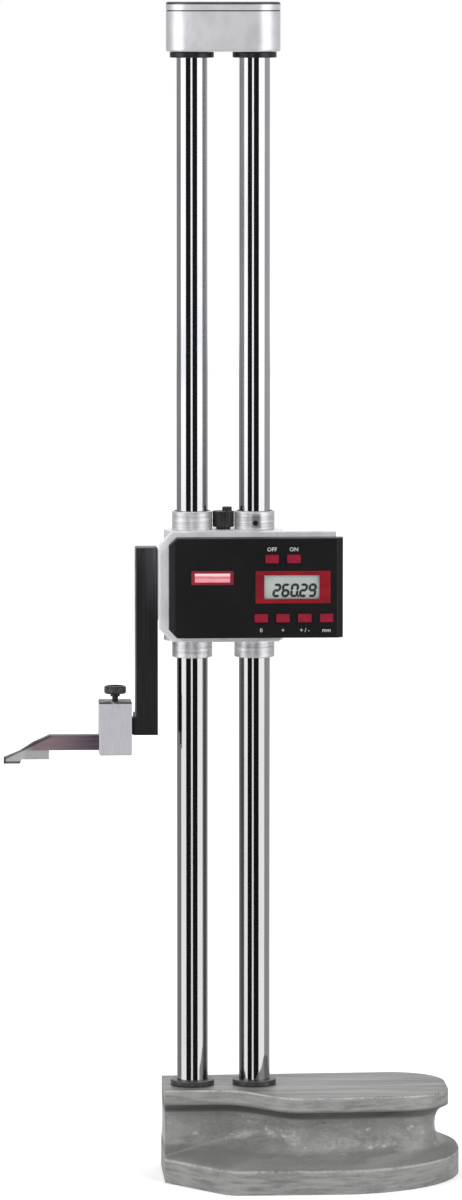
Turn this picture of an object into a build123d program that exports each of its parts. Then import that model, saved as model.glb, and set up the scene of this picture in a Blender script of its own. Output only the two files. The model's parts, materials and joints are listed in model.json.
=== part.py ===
from build123d import *

import math
import os

# Twin-column digital height gauge. Millimetres, +Z up, +X to the right, +Y to the rear.
# The origin lies on the sole of the base, midway between the two columns.

# ---------------------------------------------------------------- clearances
running_gap = 0.05          # radial, round parts that turn or slide in a bore
seat_gap = 0.02             # between parts that are screwed or pressed together
slide_gap = 0.2             # between flat sliding faces
screw_gap = 0.15            # radial, screw shank in its hole
head_gap = 0.5              # radial, screw head in its counterbore
part_gap = 0.3              # between neighbours on different moving bodies

# ---------------------------------------------------------------- columns and base
column_diameter = 22.0
column_spacing = 44.0       # between the two column axes
column_edge = 1.0           # chamfer on the column ends
column_socket = 38.0        # depth of the column seats in the base
base_height = 67.0
base_length = 212.0         # left end face to the toe of the foot
base_end_wall = 9.4         # left column to the left end face
deck_thickness = 10.8
deck_setback = 11.0         # toe of the foot to the nose of the deck
deck_edge = 1.2             # rounded edge of the deck
foot_thickness = 17.0
flare_height = 16.5         # curved rise from the foot to the grip groove
grip_height = 16.4          # straight part of the grip groove
grip_depth = 8.0            # groove depth under the deck
sole_rim = 14.0             # lapped rim of the sole
sole_relief = 3.0
column_screw_diameter = 10.0
column_screw_head = 16.0
column_screw_recess = 12.0
column_screw_grip = 22.0    # thread length in the column
ring_outer = 31.0           # rubber rings on the base
ring_height = 4.0
stop_outer = 31.0           # stop rings under the top bracket
stop_height = 4.2

# ---------------------------------------------------------------- top bracket
bracket_low = 799.3
bracket_height = 34.9
bracket_depth = 36.5
bracket_wall = 18.2         # column axis to the bracket's end
bracket_socket = 20.0
bracket_round = 1.8
bracket_lip = 6.6           # groove under the bracket's top plate
bracket_groove = 0.5
grub_diameter = 6.0
hex_share = 0.5             # hexagon socket across flats, over its screw's head

# ---------------------------------------------------------------- rack and pinions
gear_module = 1.25
pinion_teeth = 16
pressure_angle = 20.0
rack_addendum = 0.9         # in modules, shortened so that the pinion needs no undercut
gear_dedendum = 1.25        # in modules
tooth_play = 0.06           # each flank of a pinion tooth is thinner by this
flank_points = 3            # straight facets on each involute flank
rack_width = 6.0
rack_depth = 4.3            # tooth tip to the strip's back
rack_sink = 0.7             # tooth tips below the column's surface
rack_margin = 4.0           # rack beyond the last tooth that is used
rack_land = 9.0             # plain end that takes a screw
rack_screw_diameter = 2.5
rack_screw_head = 4.2
rack_screw_length = 8.0
pinion_width = 5.4
encoder_pitches = 6         # rack pitches between the drive pinion and the encoder pinion

# ---------------------------------------------------------------- carriage casting
carriage_height = 424.4     # middle of the casting above the sole
slider_height = 78.0
slider_radius = 20.0        # round ends of the casting about the columns
bore_relief = 1.0           # radial, casting bore round the column
flange_front = 20.0         # front of the flange, ahead of the columns
flange_thickness = 8.0
flange_left = 46.0
flange_right = 78.5
flange_corner = 9.0
flange_edge = 1.2
ear_rise = 3.9              # the flange right of the columns starts this much higher
bushing_collar = 28.4
bushing_spigot = 26.0
bushing_seat = 12.0         # spigot length
bushing_top = 13.2          # collar above the casting
bushing_bottom = 12.2       # collar below the casting
bushing_groove = 0.35
bushing_grub = 3.8
wiper_width = 2.2
wiper_radial = 1.7
chamber_low = 25.4          # gear chamber below the middle
chamber_high = 24.6
chamber_left = 9.0          # chamber walls from the rack's column axis
chamber_right = 10.0
chamber_inner = 5.0         # chamber floor behind the column axes
gearcase_wall = 3.0
gearcase_side = 11.5        # side walls that hold the bearings
gearcase_rear = 34.0
gearcase_round = 4.0
cover_thickness = 2.0
cover_screw_diameter = 3.0
cover_screw_head = 5.4
cover_screw_length = 12.0
cover_screw_inset = 4.5

# ---------------------------------------------------------------- drive
drive_drop = 12.4           # drive axis below the middle of the casting
shaft_diameter = 8.0
bearing_wall = 3.0
bearing_width = 6.0
encoder_shaft_diameter = 5.0
encoder_bearing_wall = 2.0
encoder_disc_radius = 10.0
encoder_disc_thickness = 0.8
reader_thickness = 1.6
wheel_diameter = 54.0
wheel_width = 9.0
wheel_hub = 16.0
wheel_hub_length = 3.0
wheel_dish = 3.0
wheel_rim = 4.0
wheel_notches = 12
wheel_notch_radius = 3.0
wheel_web = 3.0
wheel_screw_head = 8.0
wheel_screw_length = 10.0
crank_radius = 18.0
crank_angle = -45.0         # crank pin about the wheel axis, from the rear upwards
crank_pin_diameter = 5.0
crank_knob_small = 9.0
crank_knob_large = 13.0
crank_knob_length = 18.0

# ---------------------------------------------------------------- column lock
lock_knob_diameter = 15.2
lock_knob_height = 12.8
lock_knob_pip = 6.8          # raised finger pip on the knob's top
lock_knob_pip_height = 2.9
lock_knob_pip_place = 2.6    # pip's middle to the knob's middle
lock_knob_hub = 10.0
lock_knob_flutes = 10
lock_shaft_diameter = 8.0
lock_shaft_depth = 32.0
lock_cam_radius = 3.2
lock_cam_throw = 0.45
lock_cam_width = 8.0
lock_pad_diameter = 6.0
lock_pad_clearance = 0.67   # pad to column when the lock is open

# ---------------------------------------------------------------- measuring arm and scriber
arm_width = 15.8
arm_depth = 16.0
arm_gap = 0.6               # arm's right side to the flange's left side
arm_top = 26.9              # above the middle of the casting
arm_bottom = 106.2          # below the middle of the casting
arm_edge = 0.8
arm_pad_depth = 9.0
arm_pad_half_height = 24.0
arm_screw_diameter = 5.0
arm_screw_head = 8.5
arm_screw_sink = 5.5
arm_screw_spacing = 28.0
jaw_depth = 9.0
jaw_height = 12.0
jaw_length = 24.6
jaw_root = 1.3              # block at the jaw's root
jaw_root_height = 15.0
clamp_length = 23.0
clamp_depth = 22.0
clamp_height = 37.8
clamp_floor = 3.2
clamp_edge = 0.6
clamp_offset = 14.2         # arm's left side to the clamp's middle
scriber_height = 10.6
scriber_end = 4.6           # arm's left side to the bar's right end
scriber_reach = 60.4        # arm's left side to the start of the nose
nose_steps = (11.7, 21.2, 32.7)     # along the nose: knee, second bend, tip
nose_drops = (5.2, 11.3, 16.0)      # their depths below the bar's top
carbide_back = 32.0         # carbide length behind the nose
carbide_land = 11.5         # measuring face length
carbide_depth = 6.4         # relieved part below the bar
carbide_foot = 2.9          # measuring face below the relieved part
carbide_step = 1.0
screw_stem = 4.2
thumb_head = 15.2
thumb_head_height = 5.4
thumb_lift = 5.2            # head above the clamp
thumb_pitch = 0.7
thumb_turns = 2             # turns that open the clamp
clamp_pad_diameter = 7.0
clamp_pad_height = 2.4
clamp_pad_neck = 2.4

# ---------------------------------------------------------------- display
case_left = 39.5
case_right = 82.8
case_height = 70.3
case_depth = 12.5
case_wall = 2.2
case_corner = 5.6
case_bevel = 4.0
case_bevel_depth = 4.5
case_edge = 0.6
bezel_left = 21.1
bezel_width = 52.6
bezel_height = 22.8
bezel_rise = 0.7            # middle of the bezel above the middle of the casting
bezel_recess = 0.8
bezel_proud = 0.3
window_left_border = 6.0
window_right_border = 7.7
window_border = 3.05
window_lip = 0.4
glass_thickness = 1.0
lcd_thickness = 2.7
lcd_overlap = 2.5
key_width = 9.6
key_height = 6.0
key_proud = 1.2
key_travel = 0.7
key_gap = 0.2
key_flange = 0.9
key_flange_thickness = 0.9
key_pitch = 15.3
key_first = 25.0            # left key of the bottom row
key_bottom_row = 21.1       # below the middle of the casting
key_top_row = 20.6          # above it
mat_thickness = 1.0
mat_margin = 3.0
board_thickness = 1.6
board_half_height = 27.2
board_left = 14.0
board_right = 77.5
spacer_diameter = 5.0
spacer_inset = 5.0
post_diameter = 5.6
post_right = 74.5
post_height = 30.6          # screw posts above and below the middle
case_screw_diameter = 3.0
case_screw_head = 5.5
case_tab_width = 8.0
case_tab_thickness = 2.0
case_tab_length = 4.0
battery_place = 63.0
battery_drop = 22.4         # battery below the middle of the casting
battery_diameter = 11.6
battery_thickness = 5.4
battery_cap_diameter = 15.0
battery_cap_flange = 1.2
coin_slot_width = 1.6
coin_slot_depth = 0.7

# ---------------------------------------------------------------- places that follow
column_radius = column_diameter / 2
left_column = -column_spacing / 2
right_column = column_spacing / 2
column_foot = base_height - column_socket
column_top = bracket_low + bracket_socket
base_left = left_column - column_radius - base_end_wall
foot_right = base_left + base_length
deck_right = foot_right - deck_setback
slider_low = carriage_height - slider_height / 2
slider_high = carriage_height + slider_height / 2
flange_rear = -flange_front + flange_thickness
case_front = -flange_front - case_depth
case_inner = case_front + case_wall
pinion_radius = gear_module * pinion_teeth / 2
rack_pitch = math.pi * gear_module
rack_tip = column_radius - rack_sink
rack_line = rack_tip - rack_addendum * gear_module
shaft_y = rack_line + pinion_radius
drive_z = carriage_height - drive_drop
encoder_z = drive_z + encoder_pitches * rack_pitch
chamber_x = (right_column - chamber_left, right_column + chamber_right)
chamber_z = (carriage_height - chamber_low, carriage_height + chamber_high)
gearcase_x = (chamber_x[0] - gearcase_side, chamber_x[1] + gearcase_side)
gearcase_z = (chamber_z[0] - gearcase_wall, chamber_z[1] + gearcase_wall)
arm_right = -flange_left - arm_gap
arm_left = arm_right - arm_width
jaw_low = carriage_height - arm_bottom
scriber_top = jaw_low - slide_gap
scriber_low = scriber_top - scriber_height
clamp_low = scriber_low - clamp_floor
clamp_high = clamp_low + clamp_height
clamp_x = arm_left - clamp_offset
pad_low = jaw_low + jaw_height + slide_gap / 2
pad_high = pad_low + clamp_pad_height
nose_start = arm_left - scriber_reach
tip_end = nose_start - nose_steps[-1]
tip_low = scriber_low - carbide_depth - carbide_foot
travel_down = tip_low - 0.5
travel_up = bracket_low - stop_height - (slider_high + bushing_top) - 0.5


# ---------------------------------------------------------------- small helpers
def block(x, y, z):
    """Rectangular block between two places on each axis."""
    size = [max(span) - min(span) for span in (x, y, z)]
    return Pos(min(x), min(y), min(z)) * Box(*size, align=Align.MIN)


def rod(axis, place, span, radius):
    """Round bar along an axis; place holds its other two coordinates in X, Y, Z order."""
    low, high = min(span), max(span)
    bar = Cylinder(radius, high - low, align=(Align.CENTER, Align.CENTER, Align.MIN))
    if axis == "X":
        return Pos(low, place[0], place[1]) * Rot(0, 90, 0) * bar
    if axis == "Y":
        return Pos(place[0], low, place[1]) * Rot(-90, 0, 0) * bar
    return Pos(place[0], place[1], low) * bar


def tube(axis, place, span, outer, inner):
    """Round tube along an axis, given by its two radii."""
    return rod(axis, place, span, outer) - rod(axis, place, span, inner)


def hexagon(axis, place, span, across_flats):
    """Hexagonal bar along an axis, for key sockets."""
    low, high = min(span), max(span)
    bar = extrude(RegularPolygon(across_flats / 2, 6, major_radius=False), high - low)
    if axis == "X":
        return Pos(low, place[0], place[1]) * Rot(0, 90, 0) * bar
    if axis == "Y":
        return Pos(place[0], low, place[1]) * Rot(-90, 0, 0) * bar
    return Pos(place[0], place[1], low) * bar


def cap_screw(axis, place, head_end, shank_end, head_height, diameter, head_diameter):
    """Cap screw with a hexagon socket; its head starts at head_end and points at shank_end."""
    way = 1 if shank_end > head_end else -1
    under_head = head_end + way * head_height
    screw = rod(axis, place, (head_end, under_head), head_diameter / 2)
    screw += rod(axis, place, (under_head, shank_end), diameter / 2)
    socket_floor = head_end + way * head_height * 0.6
    return screw - hexagon(axis, place, (head_end, socket_floor), head_diameter * hex_share)


def grub_screw(axis, place, outer_end, inner_end, diameter):
    """Headless screw with a hexagon socket at its outer end."""
    socket_floor = outer_end + (inner_end - outer_end) * 0.4
    screw = rod(axis, place, (outer_end, inner_end), diameter / 2)
    return screw - hexagon(axis, place, (outer_end, socket_floor), diameter * hex_share)


# ---------------------------------------------------------------- base
def inset_corners(corners, inset):
    """Moves every side of a clockwise outline inwards; rounded corners stay concentric."""
    moved = []
    for i in range(len(corners)):
        before, here, after = corners[i - 1], corners[i], corners[(i + 1) % len(corners)]
        way_in = Vector(here[0] - before[0], here[1] - before[1]).normalized()
        way_out = Vector(after[0] - here[0], after[1] - here[1]).normalized()
        turn = way_in.X * way_out.Y - way_in.Y * way_out.X
        lean = (1 - way_in.dot(way_out)) / turn
        x = here[0] + inset * (way_in.Y + way_in.X * lean)
        y = here[1] - inset * (way_in.X - way_in.Y * lean)
        radius = here[2] - inset if turn < 0 else here[2] + inset
        moved.append((x, y, max(radius, 1.0)))
    return moved


def blend_corners(first, second, share):
    """Outline part of the way from the first to the second."""
    return [
        tuple(a + (b - a) * share for a, b in zip(one, other))
        for one, other in zip(first, second)
    ]


def outline_face(corners, height):
    """Flat face inside an outline with a rounded corner at each point."""
    points = [(x, y) for x, y, _ in corners]
    radii = [radius for _, _, radius in corners]
    return Pos(0, 0, height) * make_face(FilletPolyline(*points, radius=radii, close=True))


overrun = 20.0              # the outlines run past the left end face, which is cut flat
foot_rear = 48.0
foot_front = 72.0
foot_rear_round = 24.0
foot_front_round = 93.0
deck_rear_left = 37.4
deck_rear_right = 46.0
deck_rear_round = 38.0
deck_front_right = 54.0
deck_front_round = 36.0
belly_x = 44.0              # where the deck's front reaches its widest
belly_front = 62.8
shoulder_x = 8.0            # where the deck's front starts to swing out
shoulder_front = 24.5
swing_round = 30.0
heel_round = 18.0

foot_corners = [
    (base_left - overrun, foot_rear, 3.0),
    (foot_right, foot_rear, foot_rear_round),
    (foot_right, -foot_front + 0.5, foot_front_round),
    (1.0, -foot_front, heel_round),
    (base_left - 0.4, -shoulder_front + 4.5, 3.0),
    (base_left - overrun, -shoulder_front + 4.0, 3.0),
]
deck_corners = [
    (base_left - overrun, deck_rear_left, 3.0),
    (deck_right, deck_rear_right, deck_rear_round),
    (deck_right, -deck_front_right, deck_front_round),
    (belly_x, -belly_front, swing_round),
    (shoulder_x, -shoulder_front, swing_round),
    (base_left - overrun, -shoulder_front, 3.0),
]
waist_corners = inset_corners(deck_corners, grip_depth)


def base_casting():
    """Cast foot with a grip groove between the foot flange and the deck."""
    foot = extrude(outline_face(foot_corners, 0), foot_thickness)
    deck_low = base_height - deck_thickness
    deck = extrude(outline_face(deck_corners, deck_low), deck_thickness)
    deck = fillet(deck.faces().sort_by(Axis.Z)[-1].edges(), deck_edge)
    sections = []
    for share in (0.0, 0.25, 0.5, 0.75, 1.0):
        eased = (1 - math.cos(math.pi * share)) / 2
        height = foot_thickness + flare_height * share
        sections.append(outline_face(blend_corners(foot_corners, waist_corners, eased), height))
    waist_high = foot_thickness + flare_height + grip_height
    for share in (0.0, 0.5, 1.0):
        eased = 1 - math.cos(math.pi / 2 * share)
        height = waist_high + (deck_low - waist_high) * share
        sections.append(outline_face(blend_corners(waist_corners, deck_corners, eased), height))
    casting = foot + loft(sections) + deck
    end = base_left - 2 * overrun
    casting -= block((end, base_left), (-200, 200), (-1, base_height + 1))
    relief = extrude(outline_face(inset_corners(foot_corners, sole_rim), 0), sole_relief)
    land = right_column + column_screw_head + sole_rim / 2
    casting -= relief & block((land, foot_right), (-200, 200), (0, sole_relief))
    for x in (left_column, right_column):
        seat = column_radius + seat_gap
        casting -= rod("Z", (x, 0), (column_foot, base_height), seat)
        casting -= rod("Z", (x, 0), (0, column_foot), column_screw_diameter / 2 + screw_gap)
        counterbore = column_screw_head / 2 + head_gap
        casting -= rod("Z", (x, 0), (0, column_screw_recess), counterbore)
    return casting


# ---------------------------------------------------------------- columns, rack, bracket
def rack_ends():
    """Lowest and highest toothed place, so that both pinions stay in mesh over the travel."""
    tip_radius = pinion_radius + gear_module
    low = drive_z - travel_down - tip_radius - rack_margin
    high = encoder_z + travel_up + tip_radius + rack_margin
    teeth_below = math.ceil((drive_z - low) / rack_pitch)
    teeth_above = math.ceil((high - drive_z) / rack_pitch)
    return drive_z - teeth_below * rack_pitch, teeth_below + teeth_above


rack_low, rack_tooth_count = rack_ends()
rack_high = rack_low + rack_tooth_count * rack_pitch
rack_span = (rack_low - rack_land, rack_high + rack_land)
rack_floor = rack_tip - rack_depth


def column(x):
    """Ground column with chamfered ends and a tapped foot."""
    bar = rod("Z", (x, 0), (column_foot, column_top), column_radius)
    ends = bar.edges().filter_by(GeomType.CIRCLE)
    bar = chamfer(ends, column_edge)
    hole = (column_foot, column_foot + column_screw_grip + 2)
    return bar - rod("Z", (x, 0), hole, column_screw_diameter / 2 + seat_gap)


def rack_column():
    """Right column, with the slot down its rear that the rack strip lies in."""
    half = rack_width / 2 + seat_gap
    slot = block(
        (right_column - half, right_column + half),
        (rack_floor - seat_gap, column_diameter),
        (rack_span[0] - seat_gap, rack_span[1] + seat_gap),
    )
    bar = column(right_column) - slot
    for z in rack_screw_places():
        hole = (rack_floor - rack_screw_length, rack_floor)
        bar -= rod("Y", (right_column, z), hole, rack_screw_diameter / 2 + screw_gap)
    return bar


def rack_screw_places():
    return rack_span[0] + rack_land / 2, rack_span[1] - rack_land / 2


def rack_strip():
    """Toothed strip, its teeth cut across and facing the rear."""
    slant = math.tan(math.radians(pressure_angle))
    root = rack_line - gear_dedendum * gear_module
    half = rack_pitch / 4
    root_half = half + (rack_line - root) * slant
    tip_half = half - (rack_tip - rack_line) * slant
    profile = [(rack_floor, rack_span[0]), (rack_tip, rack_span[0]), (rack_tip, rack_low)]
    for i in range(rack_tooth_count):
        middle = rack_low + (i + 0.5) * rack_pitch
        profile.append((root, middle - root_half))
        profile.append((rack_tip, middle - tip_half))
        profile.append((rack_tip, middle + tip_half))
        profile.append((root, middle + root_half))
    profile += [(rack_tip, rack_high), (rack_tip, rack_span[1]), (rack_floor, rack_span[1])]
    section = make_face(Polyline(*profile, close=True))
    strip = Pos(right_column - rack_width / 2, 0, 0) * (extrude(Plane.YZ * section, rack_width))
    for z in rack_screw_places():
        strip -= rod("Y", (right_column, z), (0, rack_tip), rack_screw_diameter / 2 + screw_gap)
        sink = (rack_tip - rack_depth / 2, rack_tip)
        strip -= rod("Y", (right_column, z), sink, rack_screw_head / 2 + screw_gap)
    return strip


def rack_screws():
    """One screw at each plain end of the rack, its head sunk."""
    head = rack_depth / 2 - seat_gap
    start = rack_tip
    reach = rack_floor - rack_screw_length + 1
    return [
        cap_screw(
            "Y", (right_column, z), start, reach, head, rack_screw_diameter, rack_screw_head
        )
        for z in rack_screw_places()
    ]


def column_screws():
    """Cap screws that pull the columns down into the base."""
    recess = column_screw_recess
    head = column_screw_diameter
    return [
        cap_screw(
            "Z",
            (x, 0),
            recess - head,
            column_foot + column_screw_grip,
            head,
            column_screw_diameter,
            column_screw_head,
        )
        for x in (left_column, right_column)
    ]


def column_rings(low, height, outer):
    """One soft ring round each column, rounded at both outer edges."""
    rings = []
    for x in (left_column, right_column):
        ring = tube("Z", (x, 0), (low, low + height), outer / 2, column_radius + running_gap)
        rims = ring.edges().filter_by(GeomType.CIRCLE).sort_by(SortBy.RADIUS)[-2:]
        rings.append(fillet(rims, height / 5))
    return rings


def stadium(half_length, radius, low, height):
    """Upright block with round ends, centred between the columns."""
    slot = SlotCenterToCenter(2 * half_length, 2 * radius)
    return Pos(0, 0, low) * extrude(slot, height)


def top_bracket():
    """Cap that ties the column tops together."""
    radius = bracket_depth / 2
    half_length = column_spacing / 2 + bracket_wall - radius
    cap = stadium(half_length, radius, bracket_low, bracket_height)
    cap = fillet(cap.faces().sort_by(Axis.Z)[-1].edges(), bracket_round)
    cap = fillet(cap.faces().sort_by(Axis.Z)[0].edges(), bracket_round)
    lip = bracket_low + bracket_height - bracket_lip
    groove = stadium(half_length, radius + 1, lip, bracket_groove)
    cap -= groove - stadium(half_length, radius - bracket_groove, lip, bracket_groove)
    for x in (left_column, right_column):
        cap -= rod("Z", (x, 0), (bracket_low, column_top), column_radius + seat_gap)
        cap -= rod("Y", (x, grub_height()), (0, radius), grub_diameter / 2 + screw_gap)
    return cap


def grub_height():
    return bracket_low + bracket_socket / 2


def bracket_screws():
    """Grub screws at the rear of the bracket, one on each column."""
    outer = bracket_depth / 2 - 0.8
    return [
        grub_screw("Y", (x, grub_height()), outer, column_radius + seat_gap, grub_diameter)
        for x in (left_column, right_column)
    ]


# ---------------------------------------------------------------- carriage casting
def flange_outline(inset=0.0):
    """Front flange: cut corners at the left, a raised lower edge right of the columns."""
    left = -flange_left + inset
    low, high = slider_low + inset, slider_high - inset
    corner = flange_corner - inset * 0.6
    ear = column_spacing / 2 + slider_radius
    return [
        (left, low + corner),
        (left, high - corner),
        (left + corner, high),
        (flange_right - inset, high),
        (flange_right - inset, low + ear_rise),
        (ear, low + ear_rise),
        (ear - ear_rise, low),
        (left + corner, low),
    ]


def front_prism(points, front, depth):
    """Block with a front-view outline, from its front face backwards."""
    face = Plane.XZ * make_face(Polyline(*points, close=True))
    return Pos(0, front, 0) * extrude(face, -depth)


def arm_screw_heights():
    return [carriage_height + side * arm_screw_spacing / 2 for side in (-1, 1)]


def cover_screw_places():
    x = (gearcase_x[0] + cover_screw_inset, gearcase_x[1] - cover_screw_inset)
    z = (gearcase_z[0] + cover_screw_inset, gearcase_z[1] - cover_screw_inset)
    return [(a, b) for a in x for b in z]


def bearing_seats():
    """Cross-shaft bearing seats: height, bearing radius, left span and right span."""
    wall = shaft_diameter / 2 + bearing_wall
    small = encoder_shaft_diameter / 2 + encoder_bearing_wall
    left = (chamber_x[0] - bearing_width, chamber_x[0])
    right = (chamber_x[1], chamber_x[1] + bearing_width)
    return [(drive_z, wall, left, right), (encoder_z, small, left, right)]


def slider_body():
    """Casting that rides on the columns and carries the display, the arm and the drive."""
    body = stadium(column_spacing / 2, slider_radius, slider_low, slider_height)
    flange = front_prism(flange_outline(), -flange_front, flange_thickness)
    flange = chamfer(flange.faces().sort_by(Axis.Y)[0].edges(), flange_edge / 2)
    body += flange
    gearcase = block(gearcase_x, (0, gearcase_rear), gearcase_z)
    corners = gearcase.edges().filter_by(Axis.Y)
    gearcase = fillet(corners, gearcase_round)
    body += gearcase
    pad_z = (carriage_height - arm_pad_half_height, carriage_height + arm_pad_half_height)
    pad_x = (arm_right, left_column - column_radius)
    body += block(pad_x, (flange_rear, arm_pad_depth), pad_z)
    for x in (left_column, right_column):
        bore = column_radius + bore_relief
        body -= rod("Z", (x, 0), (slider_low, slider_high), bore)
        seat = bushing_spigot / 2 + seat_gap
        body -= rod("Z", (x, 0), (slider_low, slider_low + bushing_seat), seat)
        body -= rod("Z", (x, 0), (slider_high - bushing_seat, slider_high), seat)
    body -= block(chamber_x, (chamber_inner, gearcase_rear), chamber_z)
    for z, radius, left, right in bearing_seats():
        body -= rod("X", (shaft_y, z), left, radius + seat_gap)
        body -= rod("X", (shaft_y, z), right, radius + seat_gap)
    exit_hole = (chamber_x[1], gearcase_x[1])
    body -= rod("X", (shaft_y, drive_z), exit_hole, shaft_diameter / 2 + part_gap)
    for x, z in cover_screw_places():
        hole = (gearcase_rear - cover_screw_length, gearcase_rear)
        body -= rod("Y", (x, z), hole, cover_screw_diameter / 2 + screw_gap)
    for z in arm_screw_heights():
        body -= rod("X", (0, z), (arm_right, arm_screw_end - 1), arm_hole)
    body -= rod("Z", (0, 0), (lock_low, slider_high), lock_shaft_diameter / 2 + running_gap)
    pad_hole = lock_pad_diameter / 2 + running_gap
    body -= rod("X", (0, lock_pad_z), (left_column, 0), pad_hole)
    for z in post_heights():
        screw_hole = case_screw_diameter / 2 + screw_gap
        body -= rod("Y", (post_right, z), (-flange_front, flange_rear), screw_hole)
    body -= rod("Y", battery_axis, (-flange_front, flange_rear), battery_hole)
    for z in tab_heights():
        body -= case_tab(z, slide_gap)
    return body


lock_low = slider_high - lock_shaft_depth
lock_pad_z = lock_low + 2 + lock_cam_width / 2
arm_screw_end = left_column - column_radius - bore_relief - 2
arm_hole = arm_screw_diameter / 2 + screw_gap
battery_axis = (battery_place, carriage_height - battery_drop)
battery_hole = battery_diameter / 2 + slide_gap


def guide_bushing(x, face, way, collar_length):
    """Flanged bushing: a spigot in the casting, a grooved collar outside, a wiper recess."""
    collar_end = face + way * collar_length
    bushing = rod("Z", (x, 0), (face, collar_end), bushing_collar / 2)
    rim = bushing.edges().filter_by(GeomType.CIRCLE)
    bushing = chamfer(rim, bushing_groove)
    for share in (0.35, 0.7):
        middle = face + way * collar_length * share
        span = (middle - bushing_groove, middle + bushing_groove)
        cut = bushing_collar / 2
        bushing -= tube("Z", (x, 0), span, cut + 1, cut - bushing_groove)
    spigot_end = face - way * (bushing_seat - seat_gap)
    bushing += rod("Z", (x, 0), (spigot_end, face), bushing_spigot / 2)
    bushing -= rod("Z", (x, 0), (spigot_end, collar_end), column_radius + running_gap)
    recess = (collar_end - way * (wiper_width + slide_gap), collar_end)
    return bushing - rod("Z", (x, 0), recess, column_radius + wiper_radial)


def bushing_grub_height():
    return slider_high + bushing_top * 0.4


def bushings_upper():
    """Guide bushings above the casting; the right one takes a play-setting screw."""
    face = slider_high + seat_gap
    pair = [guide_bushing(x, face, 1, bushing_top) for x in (left_column, right_column)]
    hole = (-bushing_collar / 2 - 1, -column_radius)
    place = (right_column, bushing_grub_height())
    pair[1] -= rod("Y", place, hole, bushing_grub / 2 + seat_gap)
    return pair


def bushings_lower():
    face = slider_low - seat_gap
    return [guide_bushing(x, face, -1, bushing_bottom) for x in (left_column, right_column)]


def bushing_screw():
    """Play-setting grub screw in the front of the upper right bushing."""
    place = (right_column, bushing_grub_height())
    inner = -column_radius - running_gap
    return grub_screw("Y", place, 0.4 - bushing_collar / 2, inner - part_gap, bushing_grub)


def column_wipers():
    """Felt rings in the outer mouths of the four bushings."""
    rings = []
    outer = column_radius + wiper_radial - seat_gap
    ends = [
        (slider_high + seat_gap + bushing_top, -1),
        (slider_low - seat_gap - bushing_bottom, 1),
    ]
    for x in (left_column, right_column):
        for mouth, way in ends:
            start = mouth + way * slide_gap
            span = (start, start + way * wiper_width)
            rings.append(tube("Z", (x, 0), span, outer, column_radius + running_gap))
    return rings


def gear_cover():
    """Plate that closes the gear chamber at the rear."""
    cover_y = (gearcase_rear + seat_gap, gearcase_rear + seat_gap + cover_thickness)
    cover = block(gearcase_x, cover_y, gearcase_z)
    cover = fillet(cover.edges().filter_by(Axis.Y), gearcase_round)
    cover = chamfer(cover.faces().sort_by(Axis.Y)[-1].edges(), cover_thickness / 4)
    for x, z in cover_screw_places():
        cover -= rod("Y", (x, z), cover_y, cover_screw_diameter / 2 + screw_gap)
    return cover


def gear_cover_screws():
    face = gearcase_rear + 2 * seat_gap + cover_thickness
    head = cover_screw_diameter * 0.6
    tip = gearcase_rear - cover_screw_length + 1
    return [
        cap_screw("Y", place, face + head, tip, head, cover_screw_diameter, cover_screw_head)
        for place in cover_screw_places()
    ]


# ---------------------------------------------------------------- cross shafts
def bearings(seat_index, bore):
    """Two plain bearings for one cross shaft."""
    z, radius, left, right = bearing_seats()[seat_index]
    inner = bore / 2 + running_gap
    return [tube("X", (shaft_y, z), span, radius, inner) for span in (left, right)]


def pinion(z, bore):
    """Involute pinion; one tooth points straight at the rack."""
    slope = math.radians(pressure_angle)
    base_radius = pinion_radius * math.cos(slope)
    tip_radius = pinion_radius + gear_module
    root_radius = pinion_radius - gear_dedendum * gear_module
    pitch_half = math.pi / 2 / pinion_teeth - tooth_play / pinion_radius
    flank = []
    for i in range(flank_points + 1):
        radius = base_radius + (tip_radius - base_radius) * i / flank_points
        roll = math.acos(base_radius / radius)
        half = pitch_half + math.tan(slope) - slope - math.tan(roll) + roll
        flank.append((radius, half))
    rising = [(root_radius, flank[0][1])] + flank
    profile = []
    for tooth in range(pinion_teeth):
        middle = math.pi + 2 * math.pi * tooth / pinion_teeth
        corners = [(radius, middle - half) for radius, half in rising]
        corners += [(radius, middle + half) for radius, half in reversed(rising)]
        profile += [(r * math.cos(a), r * math.sin(a)) for r, a in corners]
    wheel = extrude(make_face(Polyline(*profile, close=True)), pinion_width)
    wheel = Plane.YZ * wheel
    wheel = Pos(right_column - pinion_width / 2, shaft_y, z) * wheel
    width = (right_column - pinion_width, right_column + pinion_width)
    return wheel - rod("X", (shaft_y, z), width, bore / 2 + seat_gap)


wheel_left = gearcase_x[1] + 1.0
wheel_face = wheel_left + wheel_hub_length + wheel_width
wheel_seat_end = wheel_face - wheel_dish - wheel_web
crank_y = shaft_y + crank_radius * math.cos(math.radians(crank_angle))
crank_z = drive_z + crank_radius * math.sin(math.radians(crank_angle))


def drive_shaft():
    """Cross shaft of the handwheel, tapped at its outer end."""
    start = chamber_x[0] - bearing_width + slide_gap
    shaft = rod("X", (shaft_y, drive_z), (start, wheel_seat_end - seat_gap), shaft_diameter / 2)
    hole = (wheel_seat_end - wheel_screw_length, wheel_seat_end)
    return shaft - rod("X", (shaft_y, drive_z), hole, shaft_diameter / 4 + seat_gap)


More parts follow.
